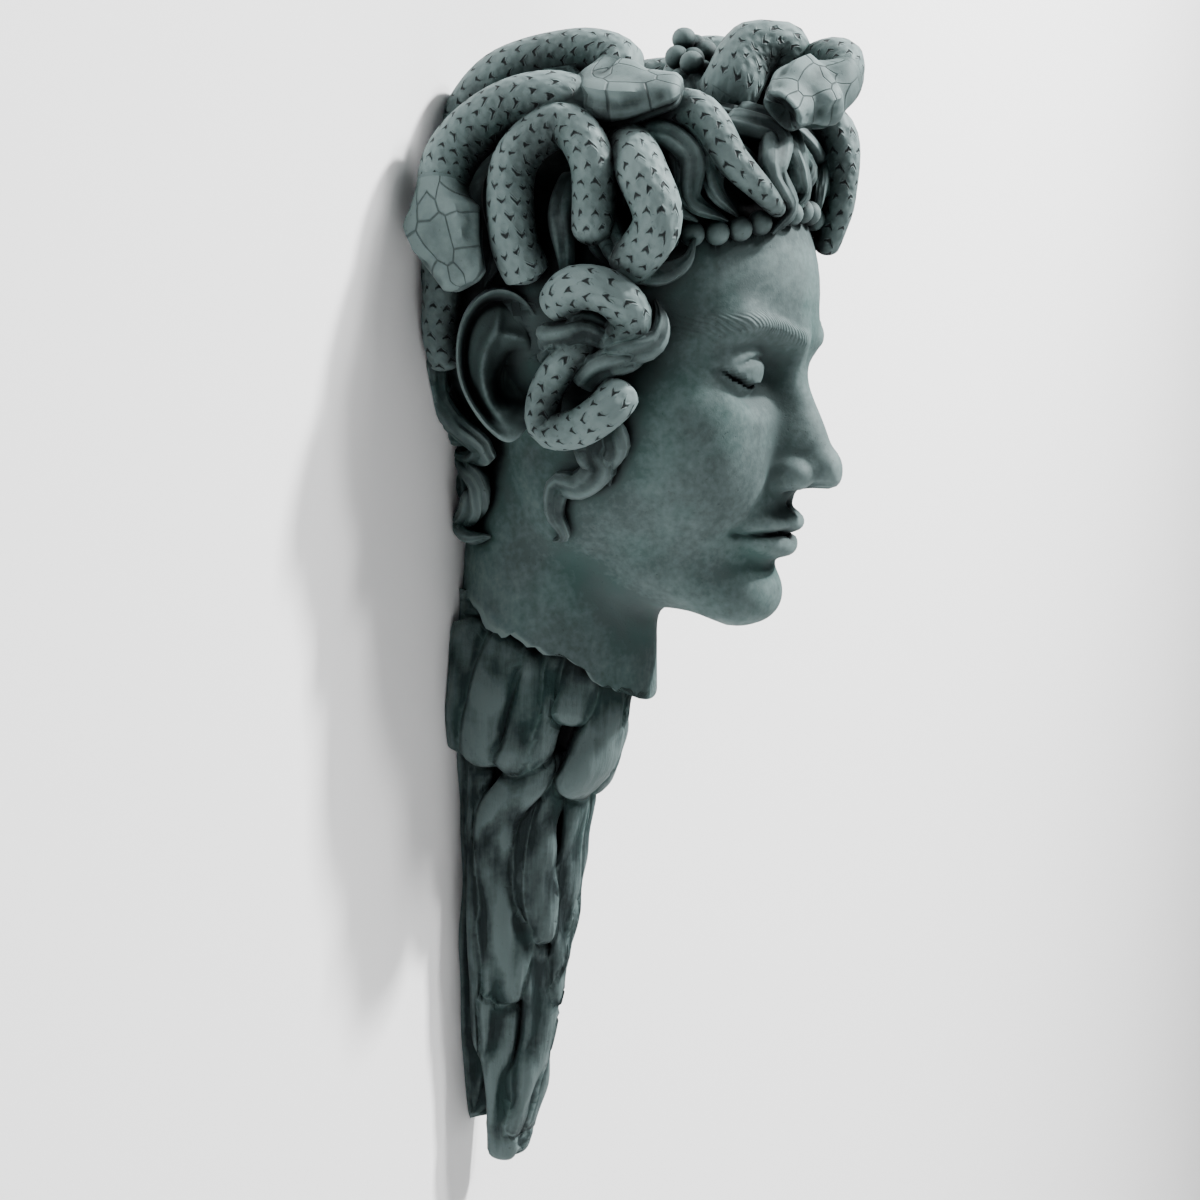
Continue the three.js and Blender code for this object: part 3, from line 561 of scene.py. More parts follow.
def earRelief(u, v, share, a):
    # how proud the ear stands, in ear heights, at u towards the back and v up: a rolled rim, a groove,
    # an inner fold, the hollow before the canal, its two small flaps and the lobe, each a soft bump
    rimmed = 1 / (1 + np.exp(-(a + 1.1) / 0.2)) / (1 + np.exp((a - 2.8) / 0.12))
    folded = 1 / (1 + np.exp(-(a + 1.3) / 0.25)) / (1 + np.exp((a - 1.35) / 0.25))
    inner = np.sqrt(((u + 0.055) / 0.28) ** 2 + ((v + 0.07) / 0.44) ** 2)
    bowl = np.sqrt(((u + 0.08) / 0.15) ** 2 + ((v + 0.11) / 0.19) ** 2)
    h = 0.11 * rimmed * bell(share, 0.945, 0.055)
    h = h - 0.035 * rimmed * bell(share, 0.82, 0.07)
    h = h + 0.075 * folded * bell(inner, 0.68, 0.13)
    h = h - 0.2 / (1 + np.exp((bowl - 1) / 0.12))
    # the fold forks upwards: one arm climbs, one runs forward, with a small dip between them
    rise = np.exp(-((u - 0.02 + 0.25 * (v - 0.25)) / 0.035) ** 2) * bell(v, 0.27, 0.1)
    ahead = np.exp(-((v - 0.17 - 0.2 * (u + 0.1)) / 0.035) ** 2) * bell(u, -0.08, 0.09)
    h = h + 0.05 * rise + 0.06 * ahead
    crus = np.abs((v - 0.02) + 0.35 * (u + 0.2))
    h = h + 0.09 * bell(crus, 0, 0.03) * bell(u, -0.2, 0.09)
    h = h + 0.12 * mound(u, v, -0.22, -0.13, 0.05, 0.07)
    h = h + 0.06 * mound(u, v, -0.02, -0.29, 0.07, 0.04)
    return h + 0.06 * np.exp(-((v + 0.42) / 0.09) ** 2 - (u / 0.13) ** 2) + 0.02


def makeEar(side):
    # a leaf about an axis, standing off the head at the rear, with its relief on the outer face
    height = earLook["height"]
    lean, stand = math.radians(earLook["lean"]), math.radians(earLook["standOff"])
    up = np.array([0, math.sin(lean), math.cos(lean)])
    back = np.array([-side * math.sin(stand), math.cos(stand), 0])
    back -= up * back.dot(up)
    back /= np.linalg.norm(back)
    out = np.cross(up, back) * side
    aside = headScale * earLook["aside"] + 0.13 * height
    middle = np.array([-side * aside, -casting["earToWall"] - 0.08 * height, -0.04 * height])
    a = np.linspace(-np.pi, np.pi, earLook["sides"], endpoint=False)[None, :]
    # rings outwards over the face of the leaf, then round its edge to the back: share of the size, drop
    rounding = [[1, -0.015], [1, -0.04], [0.985, -0.065], [0.95, -0.08], [0.85, -0.11], [0.7, -0.15],
                [0.45, -0.34]]
    outer = [[share, 0] for share in np.linspace(0.02, 0.985, earLook["rings"])]
    shares, drop = np.array(outer + rounding).T[..., None]
    narrow = np.where(a < 0, 1 - 0.3 * np.sin(a) ** 2, 1) * (1 + 0.06 * np.sin(a))
    u = shares * earLook["halfWidth"] * narrow * np.cos(a)
    v = shares * 0.5 * np.sin(a)
    proud = earRelief(u, v, shares, a) + drop
    # the front edge sinks into the cheek
    proud = proud - 0.1 * np.clip((-u - 0.17) / 0.12, 0, 1) * (drop == 0)
    grid = middle + height * (u[..., None] * back + v[..., None] * up + proud[..., None] * out)
    addShell("ear", grid, grid[0].mean(0), middle - 0.4 * height * out)


# Streams under the neck

streamLook = {
    "radius": 13, "length": 268, "sides": 22, "ringSpacing": 4,
    # the tapering form that the streams lie on: shares of the length, reach sideways and from the wall
    "shares": [0, 0.3, 0.65, 1], "across": [38, 31, 20, 9], "ahead": [76, 56, 44, 30],
    "coreEnd": 0.92,
    # rounds of melting, and more of them between the two heights
    "melting": 9, "meltingLow": 18, "lowFrom": -225, "tipFrom": -436,
}

# streams on both sides: girth at root and end in radii, and stations [degrees round from the front,
# share of the length below the broken edge, height over the fall in radii]
streams = [
    ((0.6, 0.75), [[82, -0.14, 0], [82, -0.05, 0.1], [83, 0.05, 0.2], [82, 0.14, 0.2]]),
    ((0.65, 0.95), [[64, -0.11, 0], [70, -0.04, 0.3], [74, 0.06, 0.4], [76, 0.16, 0.4]]),
    ((0.6, 0.85), [[54, -0.08, 0], [56, 0.03, 0.3], [59, 0.11, 0.4], [63, 0.17, 0.4]]),
    ((0.55, 0.7), [[44, -0.08, 0], [47, 0.02, 0.2], [50, 0.1, 0.3], [57, 0.16, 0.1]]),
    ((0.6, 0.85), [[32, -0.08, 0], [35, 0, 0.3], [38, 0.07, 0.3]]),
    ((0.7, 1), [[7, -0.08, 0], [12, 0.08, 0.2], [20, 0.16, 0.3], [27, 0.22, 0.2]]),
    ((0.6, 0.7), [[2, -0.08, -0.2], [0, 0.03, 0.1], [-3, 0.1, 0.1]]),
    ((0.65, 0.85), [[46, 0.12, -0.3], [55, 0.19, 0.2], [67, 0.25, 0.2], [66, 0.36, 0.1], [56, 0.5, 0.1],
                    [53, 0.65, 0]]),
    ((0.55, 0.6), [[76, 0.12, -0.4], [75, 0.33, -0.1], [73, 0.55, 0], [70, 0.76, 0]]),
    ((0.55, 0.6), [[30, 0.12, -0.4], [37, 0.28, 0], [34, 0.4, 0.1], [22, 0.52, 0]]),
    ((0.6, 0.6), [[8, 0.15, -0.3], [8, 0.31, 0], [2, 0.5, 0.1], [0, 0.68, 0]]),
    ((0.5, 0.5), [[44, 0.2, -0.3], [46, 0.36, -0.1], [40, 0.5, -0.1], [38, 0.64, -0.1]]),
    ((0.6, 0.8), [[30, 0.5, -0.3], [20, 0.66, 0], [20, 0.82, 0], [32, 0.93, 0]]),
    ((0.65, 0.9), [[56, 0.58, -0.3], [58, 0.72, 0], [50, 0.86, 0], [30, 0.985, -0.2]]),
]


def fallSize(down):
    # the tapering form at shares of its length: reach sideways, and from the wall
    return [np.interp(down, streamLook["shares"], streamLook[key]) for key in ("across", "ahead")]


def overFall(stations, side):
    a, down, lift = np.asarray(stations, float).T
    a = np.radians(a)
    across, ahead = (size + lift * streamLook["radius"] for size in fallSize(down))
    height = headScale * neckBottom - down * streamLook["length"]
    return stacked(-side * across * np.sin(a), -ahead * np.cos(a), height)


def makeStream(girths, stations, side, number):
    # thickens on its way down to a blunt tip; the radius swells, thins and is cut by wandering flutes:
    # 1 - 0.22 (1 - |sin|)^2 for the flutes, and slow sines along and round for the melted look
    curve = courseCurve(overFall(stations, side))
    length = curve[1][-1]
    dome = 0.85 * girths[1] * streamLook["radius"] / length
    shares = np.linspace(0, 1, int(length / streamLook["ringSpacing"]))
    closing = 1 - dome * np.array([0.85, 0.65, 0.46, 0.3, 0.17, 0.07, 0.01])
    shares = np.concatenate([shares[shares < 1 - dome], closing])
    at, sideways, out = sweep(curve, shares, np.array([0, 0, curve[0][:, 2].mean()]))
    turn = turns(streamLook["sides"])
    t = shares[:, None]
    run = t * length
    wander = 0.9 * np.sin(run / 31 + number) + 0.5 * np.sin(run / 13 + 2 * number)
    flute = 1 - 0.22 * (1 - np.abs(np.sin(1.5 * turn + wander))) ** 2
    melt = 1.04 + 0.10 * np.sin(run / 17 + number) + 0.06 * np.sin(run / 8 + 2 * turn + 2 * number)
    swelling = girths[0] + (girths[1] - girths[0]) * np.minimum(1.4 * t, 1) ** 0.8
    tip = domed(t - 1 + dome, dome, 0.97)
    girth = streamLook["radius"] * swelling * flute * melt * tip
    grid = ringed(at, sideways, out, turn, 1.3 * girth, 0.85 * girth)
    addShell("stream", grid, at[0], at[-1] + 0.1 * (at[-1] - at[-2]), None, (0, 0, 1))


def makeStreamCore():
    # the fall itself, a little inside the streams, with slow folds running down it
    top = casting["neckEdgeRise"] / streamLook["length"]
    down = np.linspace(-top, streamLook["coreEnd"], 90)[:, None]
    turn = np.linspace(0, 2 * np.pi, 84, endpoint=False)[None, :]
    inset = 0.3 * streamLook["radius"]
    fold = 0.10 * np.sin(9 * turn + 2.5 * np.sin(7 * down)) + 0.07 * np.sin(17 * turn - 12 * down)
    fold = fold + 0.04 * np.sin(33 * down + 5 * turn)
    closing = domed(down - 0.74, streamLook["coreEnd"] - 0.74, 0.98)
    wide, deep = ((size - inset) * (1 + fold) * closing for size in fallSize(down))
    z = headScale * neckBottom - streamLook["length"] * down + 0 * turn
    grid = stacked(wide * np.cos(turn), deep * np.sin(turn), z)
    addShell("core", grid, np.array([0, 0, z[0, 0]]), np.array([0, 0, z[-1, 0]]), None, (0, 0, 1))


# Joining the shells into one casting

def combined(first, second, operation):
    # joins or cuts two closed meshes, and gives back the first with the result
    modifier = first.modifiers.new("combine", "BOOLEAN")
    modifier.operation = operation
    modifier.solver = "MANIFOLD"
    modifier.object = second
    graph = bpy.context.evaluated_depsgraph_get()
    mesh = bpy.data.meshes.new_from_object(first.evaluated_get(graph))
    first.modifiers.remove(modifier)
    spare = [first.data, second.data]
    first.data = mesh
    bpy.data.objects.remove(second)
    for old in spare:
        bpy.data.meshes.remove(old)
    return first


def joinedShells(parts):
    while len(parts) > 1:
        pairs = [combined(a, b, "UNION") for a, b in zip(parts[::2], parts[1::2])]
        parts = pairs + parts[2 * len(pairs):]
    return parts[0]


def wallBlock():
    half = 600
    ring = np.array([[-half, 0, -half], [half, 0, -half], [half, 0, half], [-half, 0, half]], float)
    grid = np.stack([ring, ring + [0, half, 0]])
    addShell("wall side", grid, np.array([0, 0, 0.0]), np.array([0, float(half), 0]))
    return shells.pop()


def vertexArrays(mesh):
    points = np.empty(len(mesh.vertices) * 3, np.float32)
    mesh.vertices.foreach_get("co", points)
    ends = np.empty(len(mesh.edges) * 2, np.int32)
    mesh.edges.foreach_get("vertices", ends)
    return points.reshape(-1, 3).astype(float), ends.reshape(-1, 2)


def keepOuterSkin(piece):
    # touching coils close pockets of air: every vertex takes the lowest number in its island, and only
    # the biggest island stays
    points, ends = vertexArrays(piece.data)
    island = np.arange(len(points))
    while True:
        low = np.minimum(island[ends[:, 0]], island[ends[:, 1]])
        new = island.copy()
        np.minimum.at(new, ends[:, 0], low)
        np.minimum.at(new, ends[:, 1], low)
        new = new[new]
        if np.array_equal(new, island):
            break
        island = new
    names, counts = np.unique(island, return_counts=True)
    drop = np.flatnonzero(island != names[counts.argmax()])
    if len(drop):
        bm = bmesh.new()
        bm.from_mesh(piece.data)
        bm.verts.ensure_lookup_table()
        bmesh.ops.delete(bm, geom=[bm.verts[int(n)] for n in drop], context="VERTS")
        bm.to_mesh(piece.data)
        bm.free()
    print("pockets dropped:", len(names) - 1)


def meltStreams(piece):
    # the streams run into each other: rounds of averaging along the edges, for their points alone
    points, ends = vertexArrays(piece.data)
    kinds = np.empty(len(points) * 3, np.float32)
    piece.data.attributes["kind"].data.foreach_get("vector", kinds)
    soft = (kinds[2::3] > 0.5) & (points[:, 1] < -0.0005)
    weight = np.maximum(np.bincount(ends.ravel(), minlength=len(points)), 1)
    z = points[:, 2] * 1000
    low = np.clip((streamLook["lowFrom"] - z) / 60, 0, 1) * np.clip((z - streamLook["tipFrom"]) / 14, 0, 1)
    for step in range(streamLook["melting"] + streamLook["meltingLow"]):
        share = 0.6 * (soft if step < streamLook["melting"] else soft * low)[:, None]
        points += share * (averaged(points, ends, weight) - points)
    # then folds run down over all of them: sines of the way round, swayed by sines of the height, and
    # longer and deeper towards the tip
    x, y, z = points.T * 1000
    way = np.arctan2(x, -y)
    sway = 1.3 * np.sin(z / 23 + 1) + (0.6 - 0.4 * low) * np.sin(z / 9.5 + 2 * way)
    fold = (1.5 + 1.9 * low) * np.abs(np.sin(6.5 * way + sway)) + 0.8 * np.sin(13 * way - 1.4 * sway + 0.5)
    fold = fold + (0.7 - 0.4 * low) * np.sin(z / 5.5 + 4 * way) * np.sin(z / 14 + 1) - 0.8 - 0.9 * low
    away = np.stack([np.sin(way), -np.cos(way), 0 * way], -1)
    points[soft] += 0.001 * (fold[:, None] * away)[soft] * np.clip(-y / 12, 0, 1)[soft, None]
    piece.data.vertices.foreach_set("co", points.astype(np.float32).ravel())


def keepInBox(piece):
    # the last few millimetres before a side of the part's box are eased: L - m e^(-(p - L + m) / m)
    points, ends = vertexArrays(piece.data)
    margin = 0.006
    for axis in range(3):
        for sign, limit in ((1, cadBox[1][axis]), (-1, -cadBox[0][axis])):
            p = sign * points[:, axis]
            eased = limit - margin * np.exp(-np.maximum(p - limit + margin, 0) / margin)
            if not (axis == 1 and sign == 1):
                points[:, axis] = sign * np.where(p > limit - margin, eased, p)
    piece.data.vertices.foreach_set("co", points.astype(np.float32).ravel())
    piece.data.update()


# What the verdigris and the painted light and shade follow: how open each point is, and whether it lies on a
# ridge or in a crease

patinaLightAndShade = {
    "rays": 20,            # per point
    "reachFar": 45,        # mm, how far a neighbour still shades
    "creaseSteps": 10,     # rounds of averaging, about 1.5 mm each
}


def averaged(values, ends, weight):
    # mean of the neighbours along the mesh's edges
    out = np.zeros_like(values)
    for c in range(values.shape[1]):
        out[:, c] += np.bincount(ends[:, 0], values[ends[:, 1], c], len(values))
        out[:, c] += np.bincount(ends[:, 1], values[ends[:, 0], c], len(values))
    return out / weight[:, None]


def paintPatinaLightAndShade(piece):
    mesh = piece.data
    points, ends = vertexArrays(mesh)
    normals = np.empty(len(points) * 3, np.float32)
    mesh.vertices.foreach_get("normal", normals)
    normals = normals.reshape(-1, 3).astype(float)
    weight = np.maximum(np.bincount(ends.ravel(), minlength=len(points)), 1)
    # openness, which sets the painted shade and light: rays over the half sphere about the normal, spread by
    # the golden angle
    tree = BVHTree.FromObject(piece, bpy.context.evaluated_depsgraph_get())
    n = np.arange(patinaLightAndShade["rays"]) + 0.5
    lift = np.sqrt(1 - n / patinaLightAndShade["rays"])
    flat = np.sqrt(n / patinaLightAndShade["rays"])
    angle = n * math.pi * (3 - math.sqrt(5))
    helper = np.where(np.abs(normals[:, :1]) < 0.8, [[1.0, 0, 0]], [[0, 1.0, 0]])
    tangent = unitLong(np.cross(normals, helper))
    bitangent = np.cross(normals, tangent)
    start = points + normals * 0.0008
    far = patinaLightAndShade["reachFar"] * 0.001
    shut = np.zeros(len(points))
    for k in range(patinaLightAndShade["rays"]):
        ray = tangent * flat[k] * math.cos(angle[k]) + bitangent * flat[k] * math.sin(angle[k])
        ray = ray + normals * lift[k]
        cast = tree.ray_cast
        hits = [cast(a, b, far)[3] for a, b in zip(start.tolist(), ray.tolist())]
        gap = np.array([far if d is None else d for d in hits])
        shut += (1 - gap / far) ** 0.7
    openness = 1 - shut / patinaLightAndShade["rays"]
    soft = openness[:, None]
    for step in range(2):
        soft = 0.5 * soft + 0.5 * averaged(soft, ends, weight)
    # ridges: how far the point stands out of its averaged neighbourhood, along its normal
    smooth = points
    for step in range(patinaLightAndShade["creaseSteps"]):
        smooth = 0.4 * smooth + 0.6 * averaged(smooth, ends, weight)
    ridge = np.einsum("ij,ij->i", points - smooth, normals) * 1000
    ridge = averaged(ridge[:, None], ends, weight)
    setPoints(mesh, "openness", soft)
    setPoints(mesh, "ridge", ridge)


# Shader maths: a value wraps a socket, and writing an expression adds its Math nodes

class Value:
    def __init__(self, tree, socket):
        self.tree = tree
        self.socket = socket

    def math(self, operation, *others):
        node = self.tree.nodes.new("ShaderNodeMath")
        node.operation = operation
        for slot, item in zip(node.inputs, (self,) + others):
            if isinstance(item, Value):
                self.tree.links.new(item.socket, slot)
            else:
                slot.default_value = item
        return Value(self.tree, node.outputs[0])

    def __add__(self, other):
        return self.math("ADD", other)

    __radd__ = __add__

    def __mul__(self, other):
        return self.math("MULTIPLY", other)

    __rmul__ = __mul__

    def __sub__(self, other):
        return self.math("SUBTRACT", other)

    def __rsub__(self, other):
        return (self * -1) + other

    def __truediv__(self, other):
        return self.math("DIVIDE", other)

    def abs(self):
        return self.math("ABSOLUTE")

    def clamped(self):
        return (self * 1).clampSetting()

    def clampSetting(self):
        self.socket.node.use_clamp = True
        return self

    def step(self, low, high):
        # 0 below low, 1 above high, even between
        return ((self - low) / (high - low)).clamped()


class Finish:
    def __init__(self, name):
        self.material = bpy.data.materials.new(name)
        self.material.use_nodes = True
        self.tree = self.material.node_tree
        self.tree.nodes.clear()

    def node(self, kind, settings=None, inputs=None, output=0):
        node = self.tree.nodes.new(kind)
        for key, setting in (settings or {}).items():
            setattr(node, key, setting)
        for key, item in (inputs or {}).items():
            if isinstance(item, Value):
                self.tree.links.new(item.socket, node.inputs[key])
            else:
                node.inputs[key].default_value = item
        return Value(self.tree, node.outputs[output] if node.outputs else None)

    def mixed(self, share, first, second):
        return self.node("ShaderNodeMix", {"data_type": "RGBA"}, {0: share, 6: first, 7: second}, 2)


def makeVerdigris():
    look = {
        "recess": (0.0012, 0.0015, 0.0024, 1),
        "shade": (0.0062, 0.0078, 0.0090, 1),
        "body": (0.020, 0.0295, 0.0295, 1),
        "face": (0.050, 0.072, 0.0715, 1),
        # rubbed wear, which also serves as painted highlight
        "rubbedAndHighlight": (0.125, 0.170, 0.168, 1),
        "teal": (0.030, 0.080, 0.072, 1),
        "warm": (0.028, 0.031, 0.032, 1),
        "streams": (0.0105, 0.0175, 0.0185, 1),
        "roughness": 0.66,
        "markDepth": 0.0016,
    }
    finish = Finish("verdigrisCast")
    places = finish.node("ShaderNodeTexCoord", output=3)

    def attribute(name, output):
        return finish.node("ShaderNodeAttribute", {"attribute_name": name}, None, output)

    def noise(scale, detail, stretch=(1, 1, 1)):
        vector = finish.node("ShaderNodeMapping", None, {"Vector": places, "Scale": stretch})
        settings = {"Vector": vector, "Scale": scale, "Detail": detail, "Roughness": 0.55}
        return finish.node("ShaderNodeTexNoise", None, settings)

    def parts(vector):
        split = finish.node("ShaderNodeSeparateXYZ", None, {0: vector})
        return [Value(finish.tree, split.socket.node.outputs[n]) for n in range(3)]

    openness = attribute("openness", 2)
    ridge = attribute("ridge", 2)
    around, along, where = parts(attribute("skin", 1))
    snake, hair, stream = parts(attribute("kind", 1))

    grain = noise(900, 4)
    mottle = noise(38, 5)
    cloud = noise(9, 3)
    patch = noise(95, 4)
    fibre = noise(150, 4, (1, 1, 0.09))
    def lies(number):
        # 1 where the skin says so: 1 a snake's body, 2 its head, 3 the face, 4 a lock
        return 1 - (where - number).abs().step(0.02, 0.1)

    onBody = lies(1) * snake.step(0.9, 0.99)
    onHead = lies(2) * snake.step(0.9, 0.99)

    # scale marks: a small angle cut in each cell of a staggered lattice, a little uneven
    wobble = (noise(140, 1) - 0.5) * 3.2
    row = (along + wobble) / snakeLook["scalePitch"][1]
    fine = row.math("FRACT") - 0.5
    column = (around + wobble) / snakeLook["scalePitch"][0] + (row.math("FLOOR") * 0.5)
    cell = finish.node("ShaderNodeCombineXYZ", None, {0: column.math("FLOOR"), 1: row.math("FLOOR")})
    belly = around.abs().step(26, 28)
    chance = parts(finish.node("ShaderNodeTexWhiteNoise", {"noise_dimensions": "2D"}, {"Vector": cell}, 1))
    shift = column.math("FRACT") - 0.5 + (chance[0] - 0.5) * 0.16
    across = shift.abs()
    slope = across * 0.8 + shift * (chance[1] - 0.5) * 1.1
    angleLine = (fine + 0.1 + (chance[2] - 0.5) * 0.16 - slope).abs()
    armEnd = chance[1] * 0.16 + 0.2
    arms = ((armEnd - across) / 0.05).clamped() * (1 - belly)
    chip = (1 - across.step(0.02, 0.16)) * 0.07
    mark = (1 - (angleLine - chip).step(0.02, 0.09)) * arms * onBody
    # each scale swells a little: a lattice of slanting waves
    roundShare, alongShare = around / snakeLook["scalePitch"][0], along / snakeLook["scalePitch"][1]
    swell = ((roundShare + alongShare) * math.pi).math("COSINE")
    swell = swell * ((roundShare - alongShare) * math.pi).math("COSINE")
    swell = (1 - swell * swell) * onBody * (1 - belly)
    rim = (1 - (angleLine - 0.15).abs().step(0.02, 0.08)) * arms * onBody

    # belly bands under the body, plates on the head as uneven cells alike on both sides
    band = 1 - ((along / 13).math("FRACT") - 0.5).abs().step(0.02, 0.06)
    cut = band * belly * onBody
    place = finish.node("ShaderNodeCombineXYZ", None, {0: around.abs() * 1.5 + 0.42, 1: along * 3.1 + 0.3})
    edge = finish.node("ShaderNodeTexVoronoi", {"voronoi_dimensions": "2D", "feature": "DISTANCE_TO_EDGE"},
                       {"Vector": place, "Scale": 1, "Randomness": 0.75})
    plate = (1 - edge.step(0.012, 0.045)) * onHead
    plate = plate.math("MAXIMUM", cut)

    # brow hairs: slanting strokes on the raised band
    onBrow = lies(3) * (1 - along.abs().step(2.6, 4.6))
    onBrow = onBrow * around.step(8, 13) * (1 - around.step(50, 60)) * (1 - snake) * (1 - hair)
    stroke = (around * 3.4 - along * 2.4 + (noise(60, 2) - 0.5) * 14).math("SINE") * onBrow

    # strands of the locks and the scalp, a little wavy
    onLock = where.step(2.6, 2.9) * hair
    strand = (around + (along * 0.13).math("SINE") + (noise(45, 2) - 0.5) * 5).math("SINE") * onLock
    strand = strand - (1 - strand.abs()) * 0.4 * onLock

    smooth = (1 - stream - hair - snake).clamped()

    # darker in the hollows: partly the verdigris's own dark, partly painted shade; ridges and open places
    # lighter: partly rubbed wear, partly painted highlight
    depth = (openness + (mottle - 0.5) * 0.14 + ridge * 0.12).step(0.3, 0.95)
    # painted highlight together with rubbed wear: ridges, open places, the face and snake heads lighter
    rubAndHighlight = ridge * (stream * 0.5 + 0.5) + (openness - 0.9) * 1.5 + smooth * 0.06
    rubAndHighlight = rubAndHighlight + onHead * 0.4 + stream * ((fibre - 0.5) * 1.7 - 0.12)
    rubAndHighlight = rubAndHighlight + (noise(300, 3) - 0.5) * (0.4 + smooth * 0.5)
    rubAndHighlight = (rubAndHighlight + (mottle - 0.5) * (1.0 - smooth * 0.25) + (patch - 0.5) * 0.8).step(0.0, 1.1)
    body = finish.mixed(smooth, look["body"], look["face"])
    body = finish.mixed((stream * 0.85 + hair * 0.45).clamped(), body, look["streams"])
    body = finish.mixed((cloud + (mottle - 0.5) * 0.8).step(0.42, 0.68) * 0.5, body, look["teal"])
    body = finish.mixed((snake * 0.45 * cloud.step(0.35, 0.65)).clamped(), body, look["warm"])
    # mixes in the rubbed colour, which also carries the painted highlight
    colour = finish.mixed(rubAndHighlight, body, look["rubbedAndHighlight"])
    colour = finish.mixed((stream * 0.38 + hair * 0.2).clamped(), colour, look["streams"])
    # painted shade: the hollows darken by openness, laid over the verdigris's own dark there
    colour = finish.mixed(depth.step(0.0, 0.75), look["shade"], colour)
    colour = finish.mixed(depth.step(0.0, 0.42), look["recess"], colour)
    colour = finish.mixed(((mark * 0.9).math("MAXIMUM", plate * 0.5)).clamped(), colour, look["recess"])
    speck = noise(420, 2).step(0.68, 0.78)
    lines = (stroke * -0.25).clamped() + (strand * -0.3).clamped()
    colour = finish.mixed((speck * 0.35 + lines).clamped(), colour, look["shade"])

    rough = (mottle - 0.5) * 0.25 + (1 - rubAndHighlight) * 0.1 + look["roughness"]
    height = grain * 0.09 + mottle * 0.16 + patch * 0.08 - speck * 0.06
    height = height + rim * 0.25 - mark * 0.9 - plate * 0.5 + swell * 0.35
    height = height + strand * 0.30 + stroke * 0.10 + stream * (noise(70, 3) * 0.9 + fibre * 1.3)
    bump = finish.node("ShaderNodeBump", None, {
        "Strength": 0.75, "Distance": look["markDepth"], "Height": height})
    surface = finish.node("ShaderNodeBsdfPrincipled", None, {
        "Base Color": colour, "Roughness": rough, "Metallic": 0.1, "Specular IOR Level": 0.14,
        "Normal": bump})
    finish.node("ShaderNodeOutputMaterial", None, {"Surface": surface})
    return finish.material


# Stage, lights and camera

stageLook = {"wall": (0.86, 0.86, 0.86, 1), "floor": (0.8, 0.8, 0.8, 1), "half": 14.0, "floorHeight": -1.7}


def makeStage():
    half = stageLook["half"]
    low = stageLook["floorHeight"]
    sheets = {
        "wall": [(-half, 0.0006, low), (half, 0.0006, low), (half, 0.0006, half), (-half, 0.0006, half)],
        "floor": [(-half, -half, low), (half, -half, low), (half, 0.0006, low), (-half, 0.0006, low)],
    }
    for name, corners in sheets.items():
        mesh = bpy.data.meshes.new(name)
        mesh.from_pydata(corners, [], [(0, 1, 2, 3)])
        finish = Finish(name + "Paint")
        surface = finish.node("ShaderNodeBsdfPrincipled", None, {
            "Base Color": stageLook[name], "Roughness": 0.85})
        finish.node("ShaderNodeOutputMaterial", None, {"Surface": surface})
        mesh.materials.append(finish.material)
        sheet = bpy.data.objects.new(name, mesh)
        bpy.context.collection.objects.link(sheet)


lampLook = [
    # name, place in metres, watts, size
    ("key", (1.5, -2.1, 2.4), 430, 0.26),
    ("second", (1.0, -2.5, 2.0), 90, 0.4),
    ("fill", (-2.2, -1.7, 1.6), 2, 1.2),
    ("top", (0.3, -1.0, 1.3), 12, 0.4),
]


def makeLamps():
    for name, place, watts, size in lampLook:
        data = bpy.data.lights.new(name, "AREA")
        data.energy = watts
        data.size = size
        lamp = bpy.data.objects.new(name, data)
        lamp.location = place
        aim = Vector((0, -0.08, -0.08)) - lamp.location
        lamp.rotation_euler = aim.to_track_quat("-Z", "Y").to_euler()
        bpy.context.collection.objects.link(lamp)
    world = bpy.data.worlds.new("studio")
    world.use_nodes = True
    sky = world.node_tree.nodes["Background"]
    sky.inputs["Color"].default_value = (0.86, 0.9, 1.0, 1)
    sky.inputs["Strength"].default_value = 0.05
    bpy.context.scene.world = world


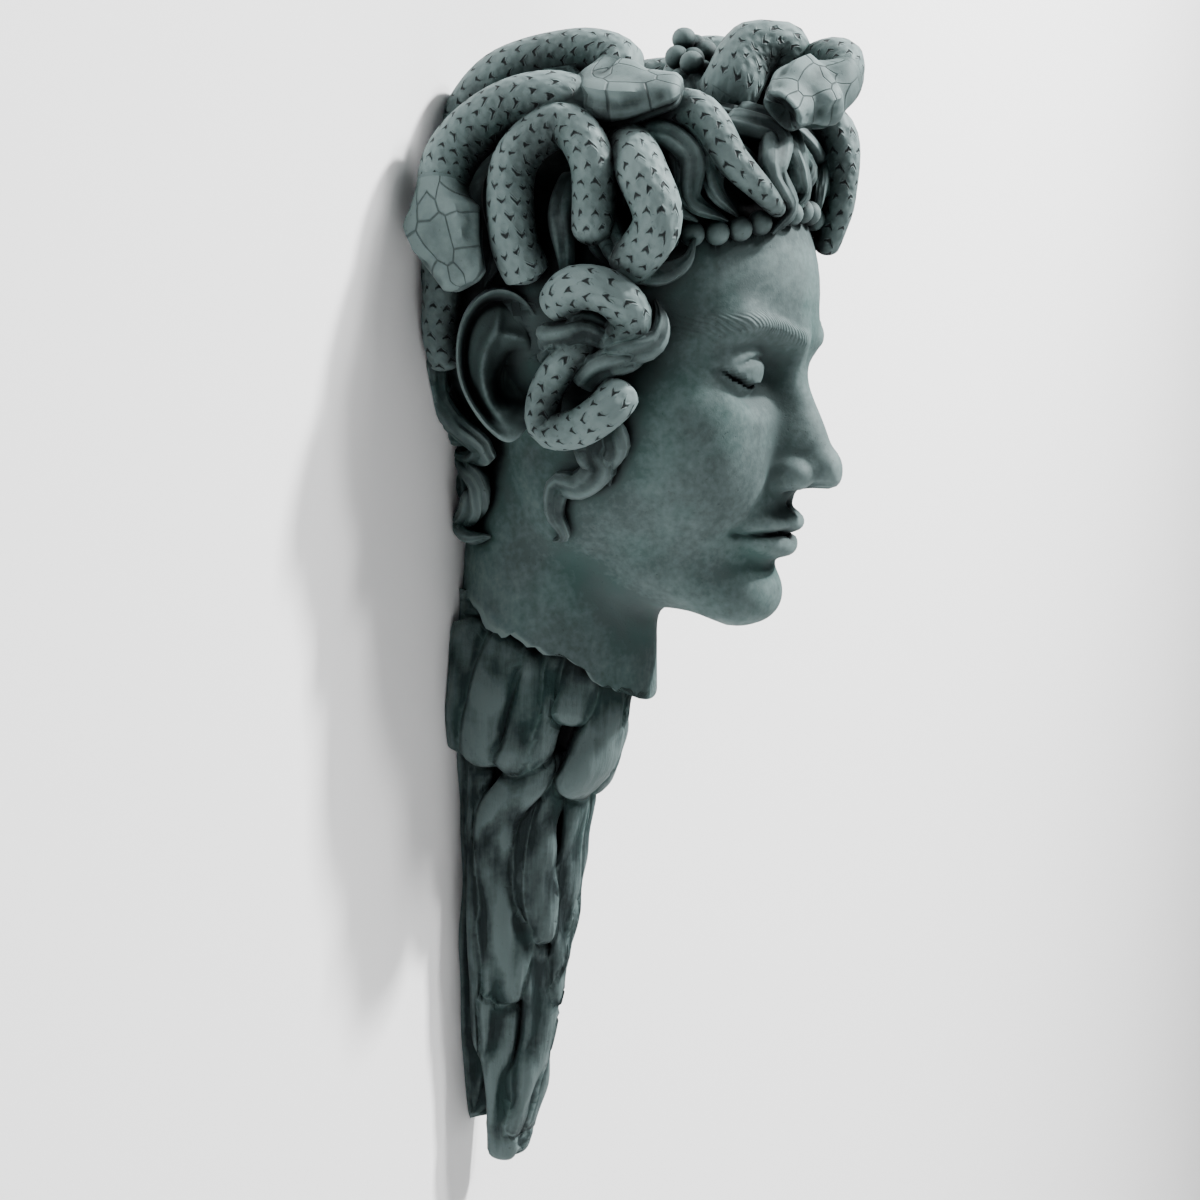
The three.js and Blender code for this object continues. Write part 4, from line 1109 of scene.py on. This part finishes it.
cameraLook = {
    "azimuth": -68, "elevation": 6, "roll": 2,     # degrees; the roll turns the picture clockwise
    "lens": 70, "target": (-0.010, -0.070, -0.124), "distance": 1.222,
}


def makeCamera():
    a, e, r = (math.radians(cameraLook[key]) for key in ("azimuth", "elevation", "roll"))
    back = Vector((math.sin(a) * math.cos(e), -math.cos(a) * math.cos(e), math.sin(e)))
    right = (-back).cross(Vector((0, 0, 1))).normalized()
    up = right.cross(-back)
    right, up = math.cos(r) * right + math.sin(r) * up, math.cos(r) * up - math.sin(r) * right
    place = Vector(cameraLook["target"]) + back * cameraLook["distance"]
    data = bpy.data.cameras.new("camera")
    data.lens = cameraLook["lens"]
    data.sensor_width = 36
    camera = bpy.data.objects.new("camera", data)
    camera.matrix_world = Matrix([[right[n], up[n], back[n], place[n]] for n in range(3)] + [[0, 0, 0, 1]])
    bpy.context.collection.objects.link(camera)
    bpy.context.scene.camera = camera


makeHead()
makeEar(1)
makeEar(-1)
print("head and ears:", len(shells), "shells")
makeBeads()
for name, girth, hasHead, paired, course in snakes:
    for side in (1, -1) if paired else (1,):
        makeSnake(name, girth, hasHead, course, side)
for thickness, course in locks:
    makeLock(thickness, course, 1)
    makeLock(thickness, course, -1)
print("snakes, locks and beads:", len(shells), "shells")
makeStreamCore()
for number, (girths, stations) in enumerate(streams):
    makeStream(girths, stations, 1, number)
    makeStream(girths, stations, -1, number + 0.5)
print("streams:", len(shells), "shells")

mask = joinedShells(shells)
mask = combined(mask, wallBlock(), "DIFFERENCE")
keepOuterSkin(mask)
meltStreams(mask)
keepInBox(mask)
mask.name = mask.data.name = "gorgon_mask_cast"
mask.data.polygons.foreach_set("use_smooth", np.ones(len(mask.data.polygons), bool))
mask.data.set_sharp_from_angle(angle=math.radians(48))
print("casting:", len(mask.data.vertices), "points")
paintPatinaLightAndShade(mask)
mask.data.materials.clear()
mask.data.materials.append(makeVerdigris())
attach(mask, "root")
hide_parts("gorgon_mask")
print("patina painted")

makeStage()
makeLamps()
makeCamera()
